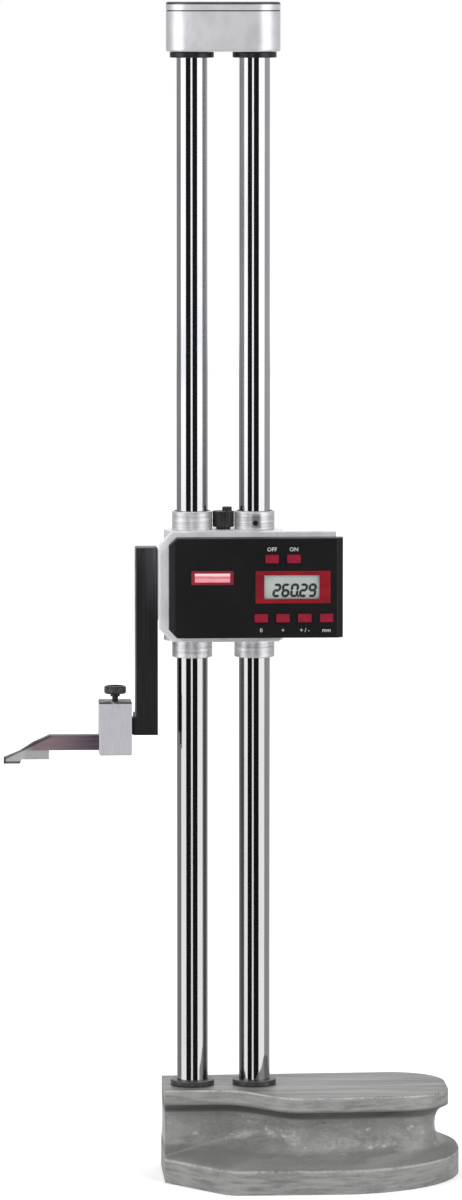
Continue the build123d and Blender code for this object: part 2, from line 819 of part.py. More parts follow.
def handwheel():
    """Dished wheel with a notched rim, a hub and a boss for the crank pin."""
    place = (shaft_y, drive_z)
    body_left = wheel_left + wheel_hub_length
    wheel = rod("X", place, (body_left, wheel_face), wheel_diameter / 2)
    wheel = fillet(wheel.edges().filter_by(GeomType.CIRCLE), wheel_width / 6)
    dish = wheel_diameter / 2 - wheel_rim
    hollow = rod("X", place, (wheel_face - wheel_dish, wheel_face), dish)
    hollow -= rod("X", (crank_y, crank_z), (body_left, wheel_face), crank_knob_small / 2)
    wheel -= hollow
    for i in range(wheel_notches):
        angle = 2 * math.pi * (i + 0.5) / wheel_notches
        y = shaft_y + (wheel_diameter / 2 + wheel_notch_radius * 0.6) * math.cos(angle)
        z = drive_z + (wheel_diameter / 2 + wheel_notch_radius * 0.6) * math.sin(angle)
        wheel -= rod("X", (y, z), (body_left, wheel_face), wheel_notch_radius)
    wheel += rod("X", place, (wheel_left, body_left), wheel_hub / 2)
    wheel -= rod("X", place, (wheel_left, wheel_seat_end), shaft_diameter / 2 + seat_gap)
    wheel -= rod("X", place, (wheel_left, wheel_face), shaft_diameter / 4 + screw_gap)
    pin = crank_pin_diameter / 2 + seat_gap
    return wheel - rod("X", (crank_y, crank_z), (body_left + 1, wheel_face), pin)


def wheel_screw():
    """Screw that holds the handwheel on its shaft."""
    face = wheel_face - wheel_dish + seat_gap
    head = wheel_dish - 0.4
    tip = wheel_seat_end - wheel_screw_length + 1
    place = (shaft_y, drive_z)
    return cap_screw("X", place, face + head, tip, head, shaft_diameter / 2, wheel_screw_head)


def crank_pin():
    """Headed pin that carries the crank knob."""
    start = wheel_left + wheel_hub_length + 1 + seat_gap
    knob_end = wheel_face + part_gap + crank_knob_length
    pin = rod("X", (crank_y, crank_z), (start, knob_end), crank_pin_diameter / 2)
    head = (knob_end - 2 + seat_gap, knob_end)
    return pin + rod("X", (crank_y, crank_z), head, crank_pin_diameter * 0.8)


def crank_knob():
    """Turned knob that spins on the crank pin, widest at its outer end."""
    start = wheel_face + part_gap
    length = crank_knob_length
    small, large = crank_knob_small / 2, crank_knob_large / 2
    bore = crank_pin_diameter / 2 + running_gap
    recess = crank_pin_diameter * 0.8 + part_gap
    floor = length - 2 - part_gap
    outline = Polyline((bore, 0), (small, 0))
    outline += Spline((small, 0), (small * 0.92, length * 0.25), (large, length * 0.75))
    outline += ThreePointArc(
        (large, length * 0.75), (large * 0.97, length * 0.88), (large * 0.82, length)
    )
    outline += Polyline(
        (large * 0.82, length), (recess, length), (recess, floor), (bore, floor), (bore, 0)
    )
    knob = revolve(Plane.XZ * make_face(outline), Axis.Z)
    return Pos(start, crank_y, crank_z) * Rot(0, 90, 0) * knob


def encoder_shaft():
    start = chamber_x[0] - bearing_width + slide_gap
    end = chamber_x[1] + bearing_width - slide_gap
    return rod("X", (shaft_y, encoder_z), (start, end), encoder_shaft_diameter / 2)


encoder_disc_left = right_column + pinion_width / 2 + 3.8


def encoder_disc():
    """Slotted measuring disc on the encoder shaft."""
    span = (encoder_disc_left, encoder_disc_left + encoder_disc_thickness)
    bore = encoder_shaft_diameter / 2 + seat_gap
    disc = tube("X", (shaft_y, encoder_z), span, encoder_disc_radius, bore)
    for i in range(8):
        angle = 2 * math.pi * i / 8
        y = shaft_y + encoder_disc_radius * 0.7 * math.cos(angle)
        z = encoder_z + encoder_disc_radius * 0.7 * math.sin(angle)
        disc -= rod("X", (y, z), span, encoder_disc_radius * 0.1)
    return disc


def encoder_reader():
    """Reading head on the chamber wall, facing the disc."""
    right = chamber_x[1] - seat_gap
    left = encoder_disc_left + encoder_disc_thickness + part_gap
    low = encoder_z - encoder_disc_radius
    board = block((right - reader_thickness, right), (shaft_y + 4, gearcase_rear - 3), (low, low + 16))
    sensor_y = (shaft_y + 5, shaft_y + 5 + 4)
    board += block((left, right - reader_thickness), sensor_y, (encoder_z - 3, encoder_z + 3))
    return board


# ---------------------------------------------------------------- column lock
def lock_knob():
    """Fluted knob on top of the casting."""
    low = slider_high + part_gap
    high = low + lock_knob_height
    middle = low + 1.5
    knob = rod("Z", (0, 0), (middle, high), lock_knob_diameter / 2)
    knob = fillet(knob.edges().filter_by(GeomType.CIRCLE), 0.8)
    for i in range(lock_knob_flutes):
        angle = 2 * math.pi * i / lock_knob_flutes
        reach = lock_knob_diameter / 2 + 0.6
        place = (reach * math.cos(angle), reach * math.sin(angle))
        knob -= rod("Z", place, (middle, high), 1.4)
    knob += rod("Z", (0, 0), (low, middle), lock_knob_hub / 2)
    pip = rod("Z", (lock_knob_pip_place, 0), (high - 1, high + lock_knob_pip_height), lock_knob_pip / 2)
    knob += fillet(pip.edges().sort_by(Axis.Z)[-1:], 0.6)
    return knob - rod("Z", (0, 0), (low, high - 3), lock_shaft_diameter / 2 - 1 + seat_gap)


def lock_shaft():
    """Shaft under the lock knob, with the eccentric that moves the pad."""
    radius = lock_shaft_diameter / 2
    shaft = rod("Z", (0, 0), (lock_low + slide_gap, slider_high - slide_gap), radius)
    cam = (lock_low + 2, lock_low + 2 + lock_cam_width)
    shaft -= rod("Z", (0, 0), cam, radius + 1)
    lean = lock_cam_throw * math.cos(math.radians(45))
    shaft += rod("Z", (lean, lean), cam, lock_cam_radius)
    top = slider_high + part_gap + lock_knob_height - 3 - seat_gap
    return shaft + rod("Z", (0, 0), (slider_high - slide_gap, top), radius - 1)


def lock_pad():
    """Brass pad between the eccentric and the left column."""
    lean = lock_cam_throw * math.cos(math.radians(45))
    inner = lean - lock_cam_radius - running_gap
    outer = left_column + column_radius + lock_pad_clearance
    return rod("X", (0, lock_pad_z), (outer, inner), lock_pad_diameter / 2)


# ---------------------------------------------------------------- arm and scriber
def measuring_arm():
    """Bar bolted to the casting's left side, with the jaw at its foot."""
    half = arm_depth / 2
    top = carriage_height + arm_top
    arm = block((arm_left, arm_right), (-half, half), (jaw_low, top))
    arm = chamfer(arm.faces().sort_by(Axis.Z)[-1].edges(), arm_edge)
    arm += block((arm_left - jaw_root, arm_left), (-half, half), (jaw_low, jaw_low + jaw_root_height))
    jaw_y = (-jaw_depth / 2, jaw_depth / 2)
    arm += block((arm_left - jaw_length, arm_left), jaw_y, (jaw_low, jaw_low + jaw_height))
    for z in arm_screw_heights():
        arm -= rod("X", (0, z), (arm_left, arm_right), arm_hole)
        sink = (arm_left, arm_left + arm_screw_sink)
        arm -= rod("X", (0, z), sink, arm_screw_head / 2 + head_gap)
    return arm


def arm_screws():
    head = arm_screw_diameter
    start = arm_left + arm_screw_sink - head
    return [
        cap_screw(
            "X", (0, z), start, arm_screw_end - 1.5, head, arm_screw_diameter, arm_screw_head
        )
        for z in arm_screw_heights()
    ]


def scriber_clamp():
    """Block with a window round the jaw and the scriber, tapped for the thumb screw."""
    x = (clamp_x - clamp_length / 2, clamp_x + clamp_length / 2)
    half = clamp_depth / 2
    clamp = block(x, (-half, half), (clamp_low, clamp_high))
    clamp = chamfer(clamp.edges(), clamp_edge)
    window_half = jaw_depth / 2 + slide_gap
    window_high = pad_high + thumb_pitch * thumb_turns + part_gap
    window = (scriber_low - slide_gap, window_high)
    clamp -= block(x, (-window_half, window_half), window)
    return clamp - rod("Z", (clamp_x, 0), (window_high, clamp_high), screw_stem / 2 + running_gap)


def clamp_pad():
    """Swivel pad between the thumb screw's point and the jaw."""
    pad = rod("Z", (clamp_x, 0), (pad_low, pad_high), clamp_pad_diameter / 2)
    cup = (pad_high - clamp_pad_height / 2, pad_high)
    return pad - rod("Z", (clamp_x, 0), cup, clamp_pad_neck / 2 + part_gap)


def thumb_screw():
    """Screw with a knurled head, a grooved rim and a spigot that turns in the pad."""
    head_low = clamp_high + thumb_lift
    head_high = head_low + thumb_head_height
    head = rod("Z", (clamp_x, 0), (head_low, head_high), thumb_head / 2)
    head = chamfer(head.edges().filter_by(GeomType.CIRCLE), thumb_head_height / 8)
    top = (head_high - thumb_head_height / 6, head_high)
    head -= rod("Z", (clamp_x, 0), top, thumb_head / 2 - 2)
    screw = head + rod("Z", (clamp_x, 0), (pad_high + slide_gap, head_low), screw_stem / 2)
    collar = (head_low - 2, head_low)
    screw += rod("Z", (clamp_x, 0), collar, screw_stem * 0.8)
    spigot = (pad_high - clamp_pad_height / 2 + slide_gap, pad_high + slide_gap)
    return screw + rod("Z", (clamp_x, 0), spigot, clamp_pad_neck / 2)


def nose_corners():
    """Corners of the nose in side view, and the place where the carbide takes over."""
    corners = [(nose_start - s, scriber_top - d) for s, d in zip(nose_steps, nose_drops)]
    knee, bend, tip = corners
    share = (knee[1] - scriber_low) / (knee[1] - bend[1])
    meet = (knee[0] + (bend[0] - knee[0]) * share, scriber_low)
    return knee, bend, tip, meet


def side_prism(points, depth):
    """Block with a side-view outline, centred on the columns' plane."""
    face = Plane.XZ * make_face(Polyline(*points, close=True))
    return Pos(0, -depth / 2, 0) * extrude(face, -depth)


def scriber_bar():
    """Square bar with a nose that slopes down to the carbide."""
    knee, _, _, meet = nose_corners()
    right = arm_left - scriber_end
    points = [
        (right, scriber_low),
        (right, scriber_top),
        (nose_start, scriber_top),
        knee,
        meet,
    ]
    return side_prism(points, jaw_depth)


def carbide_tip():
    """Carbide edge brazed under the nose, relieved behind its measuring face."""
    _, bend, tip, meet = nose_corners()
    relieved = scriber_low - seat_gap - carbide_depth
    back = tip_end + carbide_back
    land = tip_end + carbide_land
    points = [
        (back, scriber_low - seat_gap),
        (meet[0], scriber_low - seat_gap),
        bend,
        tip,
        (tip_end, tip_low),
        (land, tip_low),
        (land + carbide_step, relieved),
        (back, relieved),
    ]
    return side_prism(points, jaw_depth)


# ---------------------------------------------------------------- display
def window_span(grow=0.0):
    """Window opening of the bezel, in X and Z."""
    middle = carriage_height + bezel_rise
    left = bezel_left + window_left_border - grow
    right = bezel_left + bezel_width - window_right_border + grow
    half = bezel_height / 2 - window_border + grow
    return (left, right), (middle - half, middle + half)


def bezel_span(grow=0.0):
    middle = carriage_height + bezel_rise
    half = bezel_height / 2 + grow
    return (bezel_left - grow, bezel_left + bezel_width + grow), (middle - half, middle + half)


def key_places():
    """Key names and their places: four below the window, two above it."""
    low = carriage_height - key_bottom_row
    high = carriage_height + key_top_row
    places = {f"key_bottom_{i + 1}": (key_first + i * key_pitch, low) for i in range(4)}
    places["key_top_left"] = (key_first + key_pitch / 2, high)
    places["key_top_right"] = (key_first + key_pitch * 3 / 2, high)
    return places


def post_heights():
    return [carriage_height + side * post_height for side in (-1, 1)]


def tab_heights():
    return [carriage_height + side * case_height / 4 for side in (-1, 1)]


def case_tab(z, grow):
    """Moulded tab at the case's left side that hooks into a slot of the flange."""
    left = -case_left + case_wall - grow
    x = (left, left + case_tab_thickness + 2 * grow)
    y = (-flange_front - 1, -flange_front + case_tab_length + grow)
    half = case_tab_width / 2 + grow
    return block(x, y, (z - half, z + half))


def case_block(wall, right, front, depth):
    """Housing form with two cut corners at the left, set in by a wall but for its right side."""
    low = carriage_height - case_height / 2 + wall
    high = carriage_height + case_height / 2 - wall
    left = -case_left + wall
    points = [
        (left, low + case_corner),
        (left, high - case_corner),
        (left + case_corner, high),
        (right, high),
        (right, low),
        (left + case_corner, low),
    ]
    return front_prism(points, front, depth)


def side_wedge(edge_x, way, front):
    """What is cut off an upright front edge of the housing to slope it."""
    wedge = Polyline(
        (edge_x - way, front - 1),
        (edge_x + way * case_bevel, front - 1),
        (edge_x + way * case_bevel, front),
        (edge_x, front + case_bevel_depth),
        (edge_x - way, front + case_bevel_depth),
        close=True,
    )
    low = carriage_height - case_height
    return Pos(0, 0, low) * extrude(make_face(wedge), 2 * case_height)


def display_case():
    """Moulded front housing, open at the rear, with its window, key holes and posts."""
    case = case_block(0, case_right, case_front, case_depth - seat_gap)
    case -= side_wedge(-case_left, 1, case_front)
    case -= side_wedge(case_right, -1, case_front)
    case = chamfer(case.faces().sort_by(Axis.Y)[0].edges(), case_edge)
    hollow = case_block(case_wall, flange_right, case_inner, case_depth)
    case -= hollow - side_wedge(-case_left + case_wall, 1, case_inner)
    span_x, span_z = bezel_span(seat_gap)
    case -= block(span_x, (case_front - 1, case_front + bezel_recess), span_z)
    span_x, span_z = window_span(window_lip)
    case -= block(span_x, (case_front, case_inner), span_z)
    for x, z in key_places().values():
        hole = RectangleRounded(key_width + 2 * key_gap, key_height + 2 * key_gap, 0.8)
        cutter = extrude(Plane.XZ * hole, case_depth / 2)
        case -= Pos(x, case_inner + 0.1, z) * cutter
    for z in post_heights():
        post_y = (case_inner, -flange_front - seat_gap)
        case += rod("Y", (post_right, z), post_y, post_diameter / 2)
        case -= rod("Y", (post_right, z), (case_inner + 1, 0), case_screw_diameter / 2 + seat_gap)
    for z in tab_heights():
        case += case_tab(z, 0)
    return case


def window_bezel():
    """Red frame set into the front of the case."""
    span_x, span_z = bezel_span()
    y = (case_front - bezel_proud, case_front + bezel_recess - seat_gap)
    frame = block(span_x, y, span_z)
    frame = chamfer(frame.faces().sort_by(Axis.Y)[0].edges(), bezel_proud * 0.8)
    opening_x, opening_z = window_span()
    return frame - block(opening_x, (y[0] - 1, y[1] + 1), opening_z)


def window_glass():
    """Clear window behind the bezel."""
    span_x, span_z = window_span(window_lip - seat_gap)
    start = case_front + bezel_recess
    return block(span_x, (start, start + glass_thickness), span_z)


lcd_front = case_inner + seat_gap * 4
lcd_rear = lcd_front + lcd_thickness
board_front = lcd_rear + seat_gap * 4
board_rear = board_front + board_thickness


def lcd_panel():
    span_x, span_z = window_span(lcd_overlap)
    return block(span_x, (lcd_front, lcd_rear), span_z)


def key(x, z):
    """Push key: a rounded cap and the flange that keeps it in the case."""
    cap = extrude(Plane.XZ * RectangleRounded(key_width, key_height, 0.8), case_wall + key_proud)
    cap = fillet(cap.faces().sort_by(Axis.Y)[0].edges(), 0.4)
    cap = Pos(x, case_inner, z) * cap
    half_w, half_h = key_width / 2 + key_flange, key_height / 2 + key_flange
    y = (case_inner, case_inner + key_flange_thickness)
    flange_y = (y[0] + 0.1, y[1])
    cap += block((x - half_w, x + half_w), flange_y, (z - half_h, z + half_h))
    return cap + block(
        (x - key_width / 2 + 0.5, x + key_width / 2 - 0.5), y, (z - key_height / 2 + 0.5, z + key_height / 2 - 0.5)
    )


def keypad_mats():
    """Rubber mat under each row of keys, on the circuit board."""
    mats = []
    places = key_places()
    rows = [
        (places["key_bottom_1"], places["key_bottom_4"]),
        (places["key_top_left"], places["key_top_right"]),
    ]
    for first, last in rows:
        x = (first[0] - key_width / 2 - mat_margin / 2, last[0] + key_width / 2 + mat_margin / 2)
        half = key_height / 2 + mat_margin
        y = (board_front - seat_gap - mat_thickness, board_front - seat_gap)
        mats.append(block(x, y, (first[1] - half, first[1] + half)))
    return mats


def circuit_board():
    z = (carriage_height - board_half_height, carriage_height + board_half_height)
    return block((board_left, board_right), (board_front, board_rear), z)


def board_spacers():
    """Posts that hold the board off the casting."""
    posts = []
    for x in (board_left + spacer_inset, board_right - spacer_inset):
        for side in (-1, 1):
            z = carriage_height + side * (board_half_height - spacer_inset)
            y = (board_rear + seat_gap, -flange_front - seat_gap)
            posts.append(rod("Y", (x, z), y, spacer_diameter / 2))
    return posts


def case_screws():
    """Screws from behind the flange into the case's posts."""
    face = flange_rear + seat_gap
    head = case_screw_diameter * 0.6
    tip = case_inner + 2
    return [
        cap_screw(
            "Y", (post_right, z), face + head, tip, head, case_screw_diameter, case_screw_head
        )
        for z in post_heights()
    ]


battery_rear = flange_rear - 3.0
battery_front = battery_rear - battery_thickness


def battery_cell():
    return rod("Y", battery_axis, (battery_front, battery_rear), battery_diameter / 2)


def battery_spring():
    """Folded leaf contact between the cell and the board."""
    start, end = board_rear + seat_gap, battery_front - seat_gap
    x, reach, leaf = battery_axis[0], battery_diameter * 0.3, 0.4
    points = [
        (x - reach, start),
        (x + reach, start),
        (x + reach, start + leaf),
        (x - reach / 3, end - leaf),
        (x + reach / 2, end - leaf),
        (x + reach / 2, end),
        (x - reach / 3 - 2 * leaf, end),
        (x + reach - 3 * leaf, start + leaf),
        (x - reach, start + leaf),
    ]
    width = battery_diameter / 2
    strip = extrude(make_face(Polyline(*points, close=True)), width)
    return Pos(0, 0, battery_axis[1] - width / 2) * strip


def battery_cover():
    """Coin-slot cap over the battery."""
    plug_end = battery_rear + seat_gap * 2
    face = flange_rear + slide_gap / 2
    cover = rod("Y", battery_axis, (face, face + battery_cap_flange), battery_cap_diameter / 2)
    rim = cover.faces().sort_by(Axis.Y)[-1].edges()
    cover = chamfer(rim, battery_cap_flange / 4)
    cover += rod("Y", battery_axis, (plug_end, face), battery_diameter / 2)
    x = (battery_axis[0] - battery_cap_diameter, battery_axis[0] + battery_cap_diameter)
    z = (battery_axis[1] - coin_slot_width / 2, battery_axis[1] + coin_slot_width / 2)
    y = (face + battery_cap_flange - coin_slot_depth, face + battery_cap_flange)
    return cover - block(x, y, z)


# ---------------------------------------------------------------- write every piece
nodes = {
    "base_casting": base_casting(),
    "column_left": column(left_column),
    "column_right": rack_column(),
    "rack_strip": rack_strip(),
    "rack_screws": rack_screws(),
    "column_screws": column_screws(),
    "foot_rings": column_rings(base_height + seat_gap, ring_height, ring_outer),
    "stop_rings": column_rings(bracket_low - stop_height - seat_gap, stop_height, stop_outer),
    "top_bracket": top_bracket(),
    "bracket_screws": bracket_screws(),
    "slider_body": slider_body(),
    "bushings_upper": bushings_upper(),
    "bushings_lower": bushings_lower(),
    "bushing_screw": bushing_screw(),
    "column_wipers": column_wipers(),
    "gear_cover": gear_cover(),
    "gear_cover_screws": gear_cover_screws(),
    "shaft_bearings": bearings(0, shaft_diameter),
    "encoder_bearings": bearings(1, encoder_shaft_diameter),
    "drive_pinion": pinion(drive_z, shaft_diameter),
    "encoder_pinion": pinion(encoder_z, encoder_shaft_diameter),
    "drive_shaft": drive_shaft(),
    "handwheel": handwheel(),
    "wheel_screw": wheel_screw(),
    "crank_pin": crank_pin(),
    "crank_knob": crank_knob(),
    "encoder_shaft": encoder_shaft(),
    "encoder_disc": encoder_disc(),
    "encoder_reader": encoder_reader(),
    "lock_knob": lock_knob(),
    "lock_shaft": lock_shaft(),
    "lock_pad": lock_pad(),
    "measuring_arm": measuring_arm(),
    "arm_screws": arm_screws(),
    "scriber_clamp": scriber_clamp(),
    "clamp_pad": clamp_pad(),
    "thumb_screw": thumb_screw(),
    "scriber_bar": scriber_bar(),
    "carbide_tip": carbide_tip(),
    "display_case": display_case(),
    "window_bezel": window_bezel(),
    "window_glass": window_glass(),
    "lcd_panel": lcd_panel(),
    "keypad_mats": keypad_mats(),
    "circuit_board": circuit_board(),
    "board_spacers": board_spacers(),
    "case_screws": case_screws(),
    "battery_cell": battery_cell(),
    "battery_spring": battery_spring(),
    "battery_cover": battery_cover(),
}
for name, place in key_places().items():
    nodes[name] = key(*place)

os.makedirs("parts", exist_ok=True)
for name, piece in nodes.items():
    pieces = piece if isinstance(piece, list) else [piece]
    solids = [solid for one in pieces for solid in one.solids()]
    export_step(Compound(solids) if len(solids) > 1 else solids[0], f"parts/{name}.step")

print("travel down", round(travel_down, 2), "travel up", round(travel_up, 2))
print("lock pad", (0, lock_pad_z), "drive", (shaft_y, drive_z), "encoder", (shaft_y, encoder_z))
print("crank", (crank_y, crank_z), "tip", (tip_end, tip_low), "rack teeth", rack_tooth_count)
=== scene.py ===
# %% [markdown]
# # A digital height gauge on two chromed columns
# The instrument is a heavy cast foot that carries two chromed columns. A
# carriage with a display rides up and down them and holds a scriber out to the
# left. Its solids come packed and jointed, so this lesson gives them their
# surfaces, adds the small pieces that are only skin deep, and lights the whole
# as a studio would. The frame is loaded first, and its box is kept, because
# nothing made here may grow past it.

# %% Load the instrument
import bpy
import bmesh
import json
import math
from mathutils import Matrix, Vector

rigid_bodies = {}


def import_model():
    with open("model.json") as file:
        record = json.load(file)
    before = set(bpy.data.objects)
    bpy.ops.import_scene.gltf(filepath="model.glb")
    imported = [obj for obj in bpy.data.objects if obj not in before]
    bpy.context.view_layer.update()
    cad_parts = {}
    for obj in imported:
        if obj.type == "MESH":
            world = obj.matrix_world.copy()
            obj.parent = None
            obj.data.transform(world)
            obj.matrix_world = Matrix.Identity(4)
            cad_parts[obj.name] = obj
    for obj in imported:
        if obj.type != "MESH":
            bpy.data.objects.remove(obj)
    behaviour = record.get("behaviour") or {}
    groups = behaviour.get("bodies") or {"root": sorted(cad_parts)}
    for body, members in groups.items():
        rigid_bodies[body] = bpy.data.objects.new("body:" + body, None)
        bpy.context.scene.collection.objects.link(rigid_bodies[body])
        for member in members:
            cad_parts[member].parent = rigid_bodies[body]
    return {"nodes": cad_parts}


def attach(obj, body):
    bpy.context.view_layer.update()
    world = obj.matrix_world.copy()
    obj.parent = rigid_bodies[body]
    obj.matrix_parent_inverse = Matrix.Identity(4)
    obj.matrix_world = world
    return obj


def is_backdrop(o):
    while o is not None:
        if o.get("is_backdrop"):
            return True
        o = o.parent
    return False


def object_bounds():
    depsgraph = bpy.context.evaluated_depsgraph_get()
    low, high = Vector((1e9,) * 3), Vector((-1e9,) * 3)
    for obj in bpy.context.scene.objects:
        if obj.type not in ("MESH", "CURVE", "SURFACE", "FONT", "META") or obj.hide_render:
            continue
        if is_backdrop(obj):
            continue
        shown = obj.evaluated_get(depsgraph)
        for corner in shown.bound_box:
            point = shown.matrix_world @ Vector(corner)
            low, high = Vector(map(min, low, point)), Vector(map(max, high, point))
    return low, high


for leftover in list(bpy.data.objects):
    bpy.data.objects.remove(leftover)
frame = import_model()
cad_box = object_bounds()
MM = 0.001
nodes = frame["nodes"]
print(len(nodes), "solids, box", [round(v, 4) for v in cad_box[0]], [round(v, 4) for v in cad_box[1]])

# %% [markdown]
# ## The camera
# A tall thin object is best taken from some way off with a long lens, so that
# both ends of the columns stay the same width. The camera stands four and a
# half metres away, three degrees to the left, as high as the top bracket. It
# sees the bracket level and looks down on the foot by ten degrees, and it aims
# at the middle of the instrument, where the sensor's long side covers 848 mm.

# %% Camera
AZIMUTH, ELEVATION = -3.0, 5.616                # degrees
DISTANCE, TALL, SENSOR = 4.557, 0.848, 36.0     # metres, metres, millimetres
AIM = (0.00545, 0.0, 0.41307)


def toward(azimuth, elevation):
    """Unit direction from the object, 0 being the front (-Y), in degrees."""
    a, e = math.radians(azimuth), math.radians(elevation)
    return (math.sin(a) * math.cos(e), -math.cos(a) * math.cos(e), math.sin(e))


def aimed(thing, target, azimuth, elevation, distance):
    """Stands a camera or lamp off the target, looking back at it."""
    back = Vector(toward(azimuth, elevation))
    thing.location = Vector(target) + back * distance
    thing.rotation_euler = (-back).to_track_quat("-Z", "Y").to_euler()
    bpy.context.scene.collection.objects.link(thing)
    return thing


lens = bpy.data.cameras.new("camera")
lens.sensor_width = SENSOR
lens.lens = SENSOR * DISTANCE / TALL
lens.clip_end = 300.0
camera = aimed(bpy.data.objects.new("camera", lens), AIM, AZIMUTH, ELEVATION, DISTANCE)
bpy.context.scene.camera = camera
print("lens", round(lens.lens, 1), "mm")

# %% [markdown]
# ## Writing materials as sums
# A finish on metal or paint is a handful of patterns added together. Wiring
# them by hand is slow to read, so a small class stands for one socket and lets
# Python's own operators place the Math nodes. The same bench also builds the
# Geometry Nodes trees, because both kinds of tree make and link their nodes in
# the same way.

# %% Sockets that add up
class Wire:
    """One socket's value on its way to another node."""

    def __init__(self, bench, socket):
        self.bench, self.socket = bench, socket

    def maths(self, operation, first, second=0.0):
        return self.bench.node("ShaderNodeMath", {"operation": operation}, {0: first, 1: second})

    def __add__(self, other):
        return self.maths("ADD", self, other)

    __radd__ = __add__

    def __mul__(self, other):
        return self.maths("MULTIPLY", self, other)

    __rmul__ = __mul__

    def __sub__(self, other):
        return self.maths("SUBTRACT", self, other)

    def __rsub__(self, other):
        return self.maths("SUBTRACT", other, self)

    def __truediv__(self, other):
        return self.maths("DIVIDE", self, other)

    def __abs__(self):
        return self.maths("ABSOLUTE", self)


class Bench:
    """A node tree with one way to add a node."""

    def __init__(self, tree):
        self.tree = tree

    def node(self, kind, settings=None, values=None, out=0):
        """Adds a node, its settings first, then the values or wires of its sockets."""
        made = self.tree.nodes.new(kind)
        for name, value in (settings or {}).items():
            setattr(made, name, value)
        for name, value in (values or {}).items():
            if isinstance(value, Wire):
                self.tree.links.new(value.socket, made.inputs[name])
            else:
                made.inputs[name].default_value = value
        return Wire(self, made.outputs[out] if made.outputs else None)


print("the bench is ready")

# %% [markdown]
# ## Patterns that lie on the object
# Every pattern reads Object coordinates. They are metres in the instrument's
# own frame, so a grain keeps its true size, and a mark stays on its place of the
# solid when the carriage moves. Noise stretched along one axis makes the lines
# that a grinder or a lathe leaves. Marks that follow an edge are measured from
# the solid itself, so they stay on the edge if the solid grows.

# %% Paint colours and patterns
def linear(shade):
    """One channel of a screen colour, 0 to 255, as linear light."""
    share = shade / 255
    return ((share + 0.055) / 1.055) ** 2.4 if shade > 10 else share / 12.92


def tone(red, green, blue):
    """A screen colour as the linear colour that Blender wants."""
    return (linear(red), linear(green), linear(blue), 1.0)


def scaled(shade, share):
    """A shade made darker, or lighter when the share is over 1."""
    return tone(*[channel * share for channel in shade])


def span(name, axis):
    """Where a solid begins and ends along X, Y or Z, in millimetres."""
    places = [corner.co["XYZ".index(axis)] / MM for corner in nodes[name].data.vertices]
    return min(places), max(places)


class Finish(Bench):
    """One material, wired from patterns on Object coordinates."""

    def __init__(self, name):
        self.material = bpy.data.materials.new(name)
        self.material.use_nodes = True
        super().__init__(self.material.node_tree)
        self.tree.nodes.clear()
        self.place = self.node("ShaderNodeTexCoord", out="Object")
        self.axes = {}

    def along(self, axis):
        """The distance along X, Y or Z in millimetres."""
        if not self.axes:
            split = self.node("ShaderNodeSeparateXYZ", values={0: self.place}).socket.node
            self.axes = {name: Wire(self, split.outputs[name]) * (1 / MM) for name in "XYZ"}
        return self.axes[axis]

    def grain(self, size, stretch=(1, 1, 1), detail=2.0, rough=0.5):
        """Noise from 0 to 1 whose lumps are size mm, longer along an axis whose stretch is over 1."""
        spread = self.node("ShaderNodeMapping", values={
            "Vector": self.place, "Scale": tuple(1 / MM / size / longer for longer in stretch)})
        return self.node("ShaderNodeTexNoise", values={
            "Vector": spread, "Scale": 1.0, "Detail": detail, "Roughness": rough})

    def rise(self, value, low, high):
        """0 below low, 1 above high, smooth between."""
        return self.node("ShaderNodeMapRange", {"interpolation_type": "SMOOTHSTEP"}, {
            "Value": value, "From Min": low, "From Max": high})

    def band(self, value, low, high, soft):
        """1 between low and high, fading over soft outside them."""
        return self.rise(value, low - soft, low) * (1 - self.rise(value, high, high + soft))

    def mixed(self, share, first, second):
        """first where share is 0, second where it is 1."""
        return self.node("ShaderNodeMix", {"data_type": "RGBA"}, {0: share, 6: first, 7: second}, out=2)

    def bumps(self, height, depth):
        """Raises the surface by height times depth mm."""
        return self.node("ShaderNodeBump", values={"Height": height, "Distance": depth * MM})

    def done(self, colour, roughness, metallic=0.0, normal=None, **more):
        """Closes the material with one Principled shader."""
        values = {"Base Color": colour, "Roughness": roughness, "Metallic": metallic}
        if normal is not None:
            values["Normal"] = normal
        values.update({name.replace("_", " "): value for name, value in more.items()})
        shader = self.node("ShaderNodeBsdfPrincipled", values=values)
        self.node("ShaderNodeOutputMaterial", values={"Surface": shader})
        return self.material


def dress(material, *names):
    """Gives CAD solids a finish in every slot."""
    for name in names:
        mesh = nodes[name].data
        if not mesh.materials:
            mesh.materials.append(material)
        for index in range(len(mesh.materials)):
            mesh.materials[index] = material
    print(material.name, "on", ", ".join(names))


print("half bright on a screen is", round(linear(127.5), 3), "in linear light")
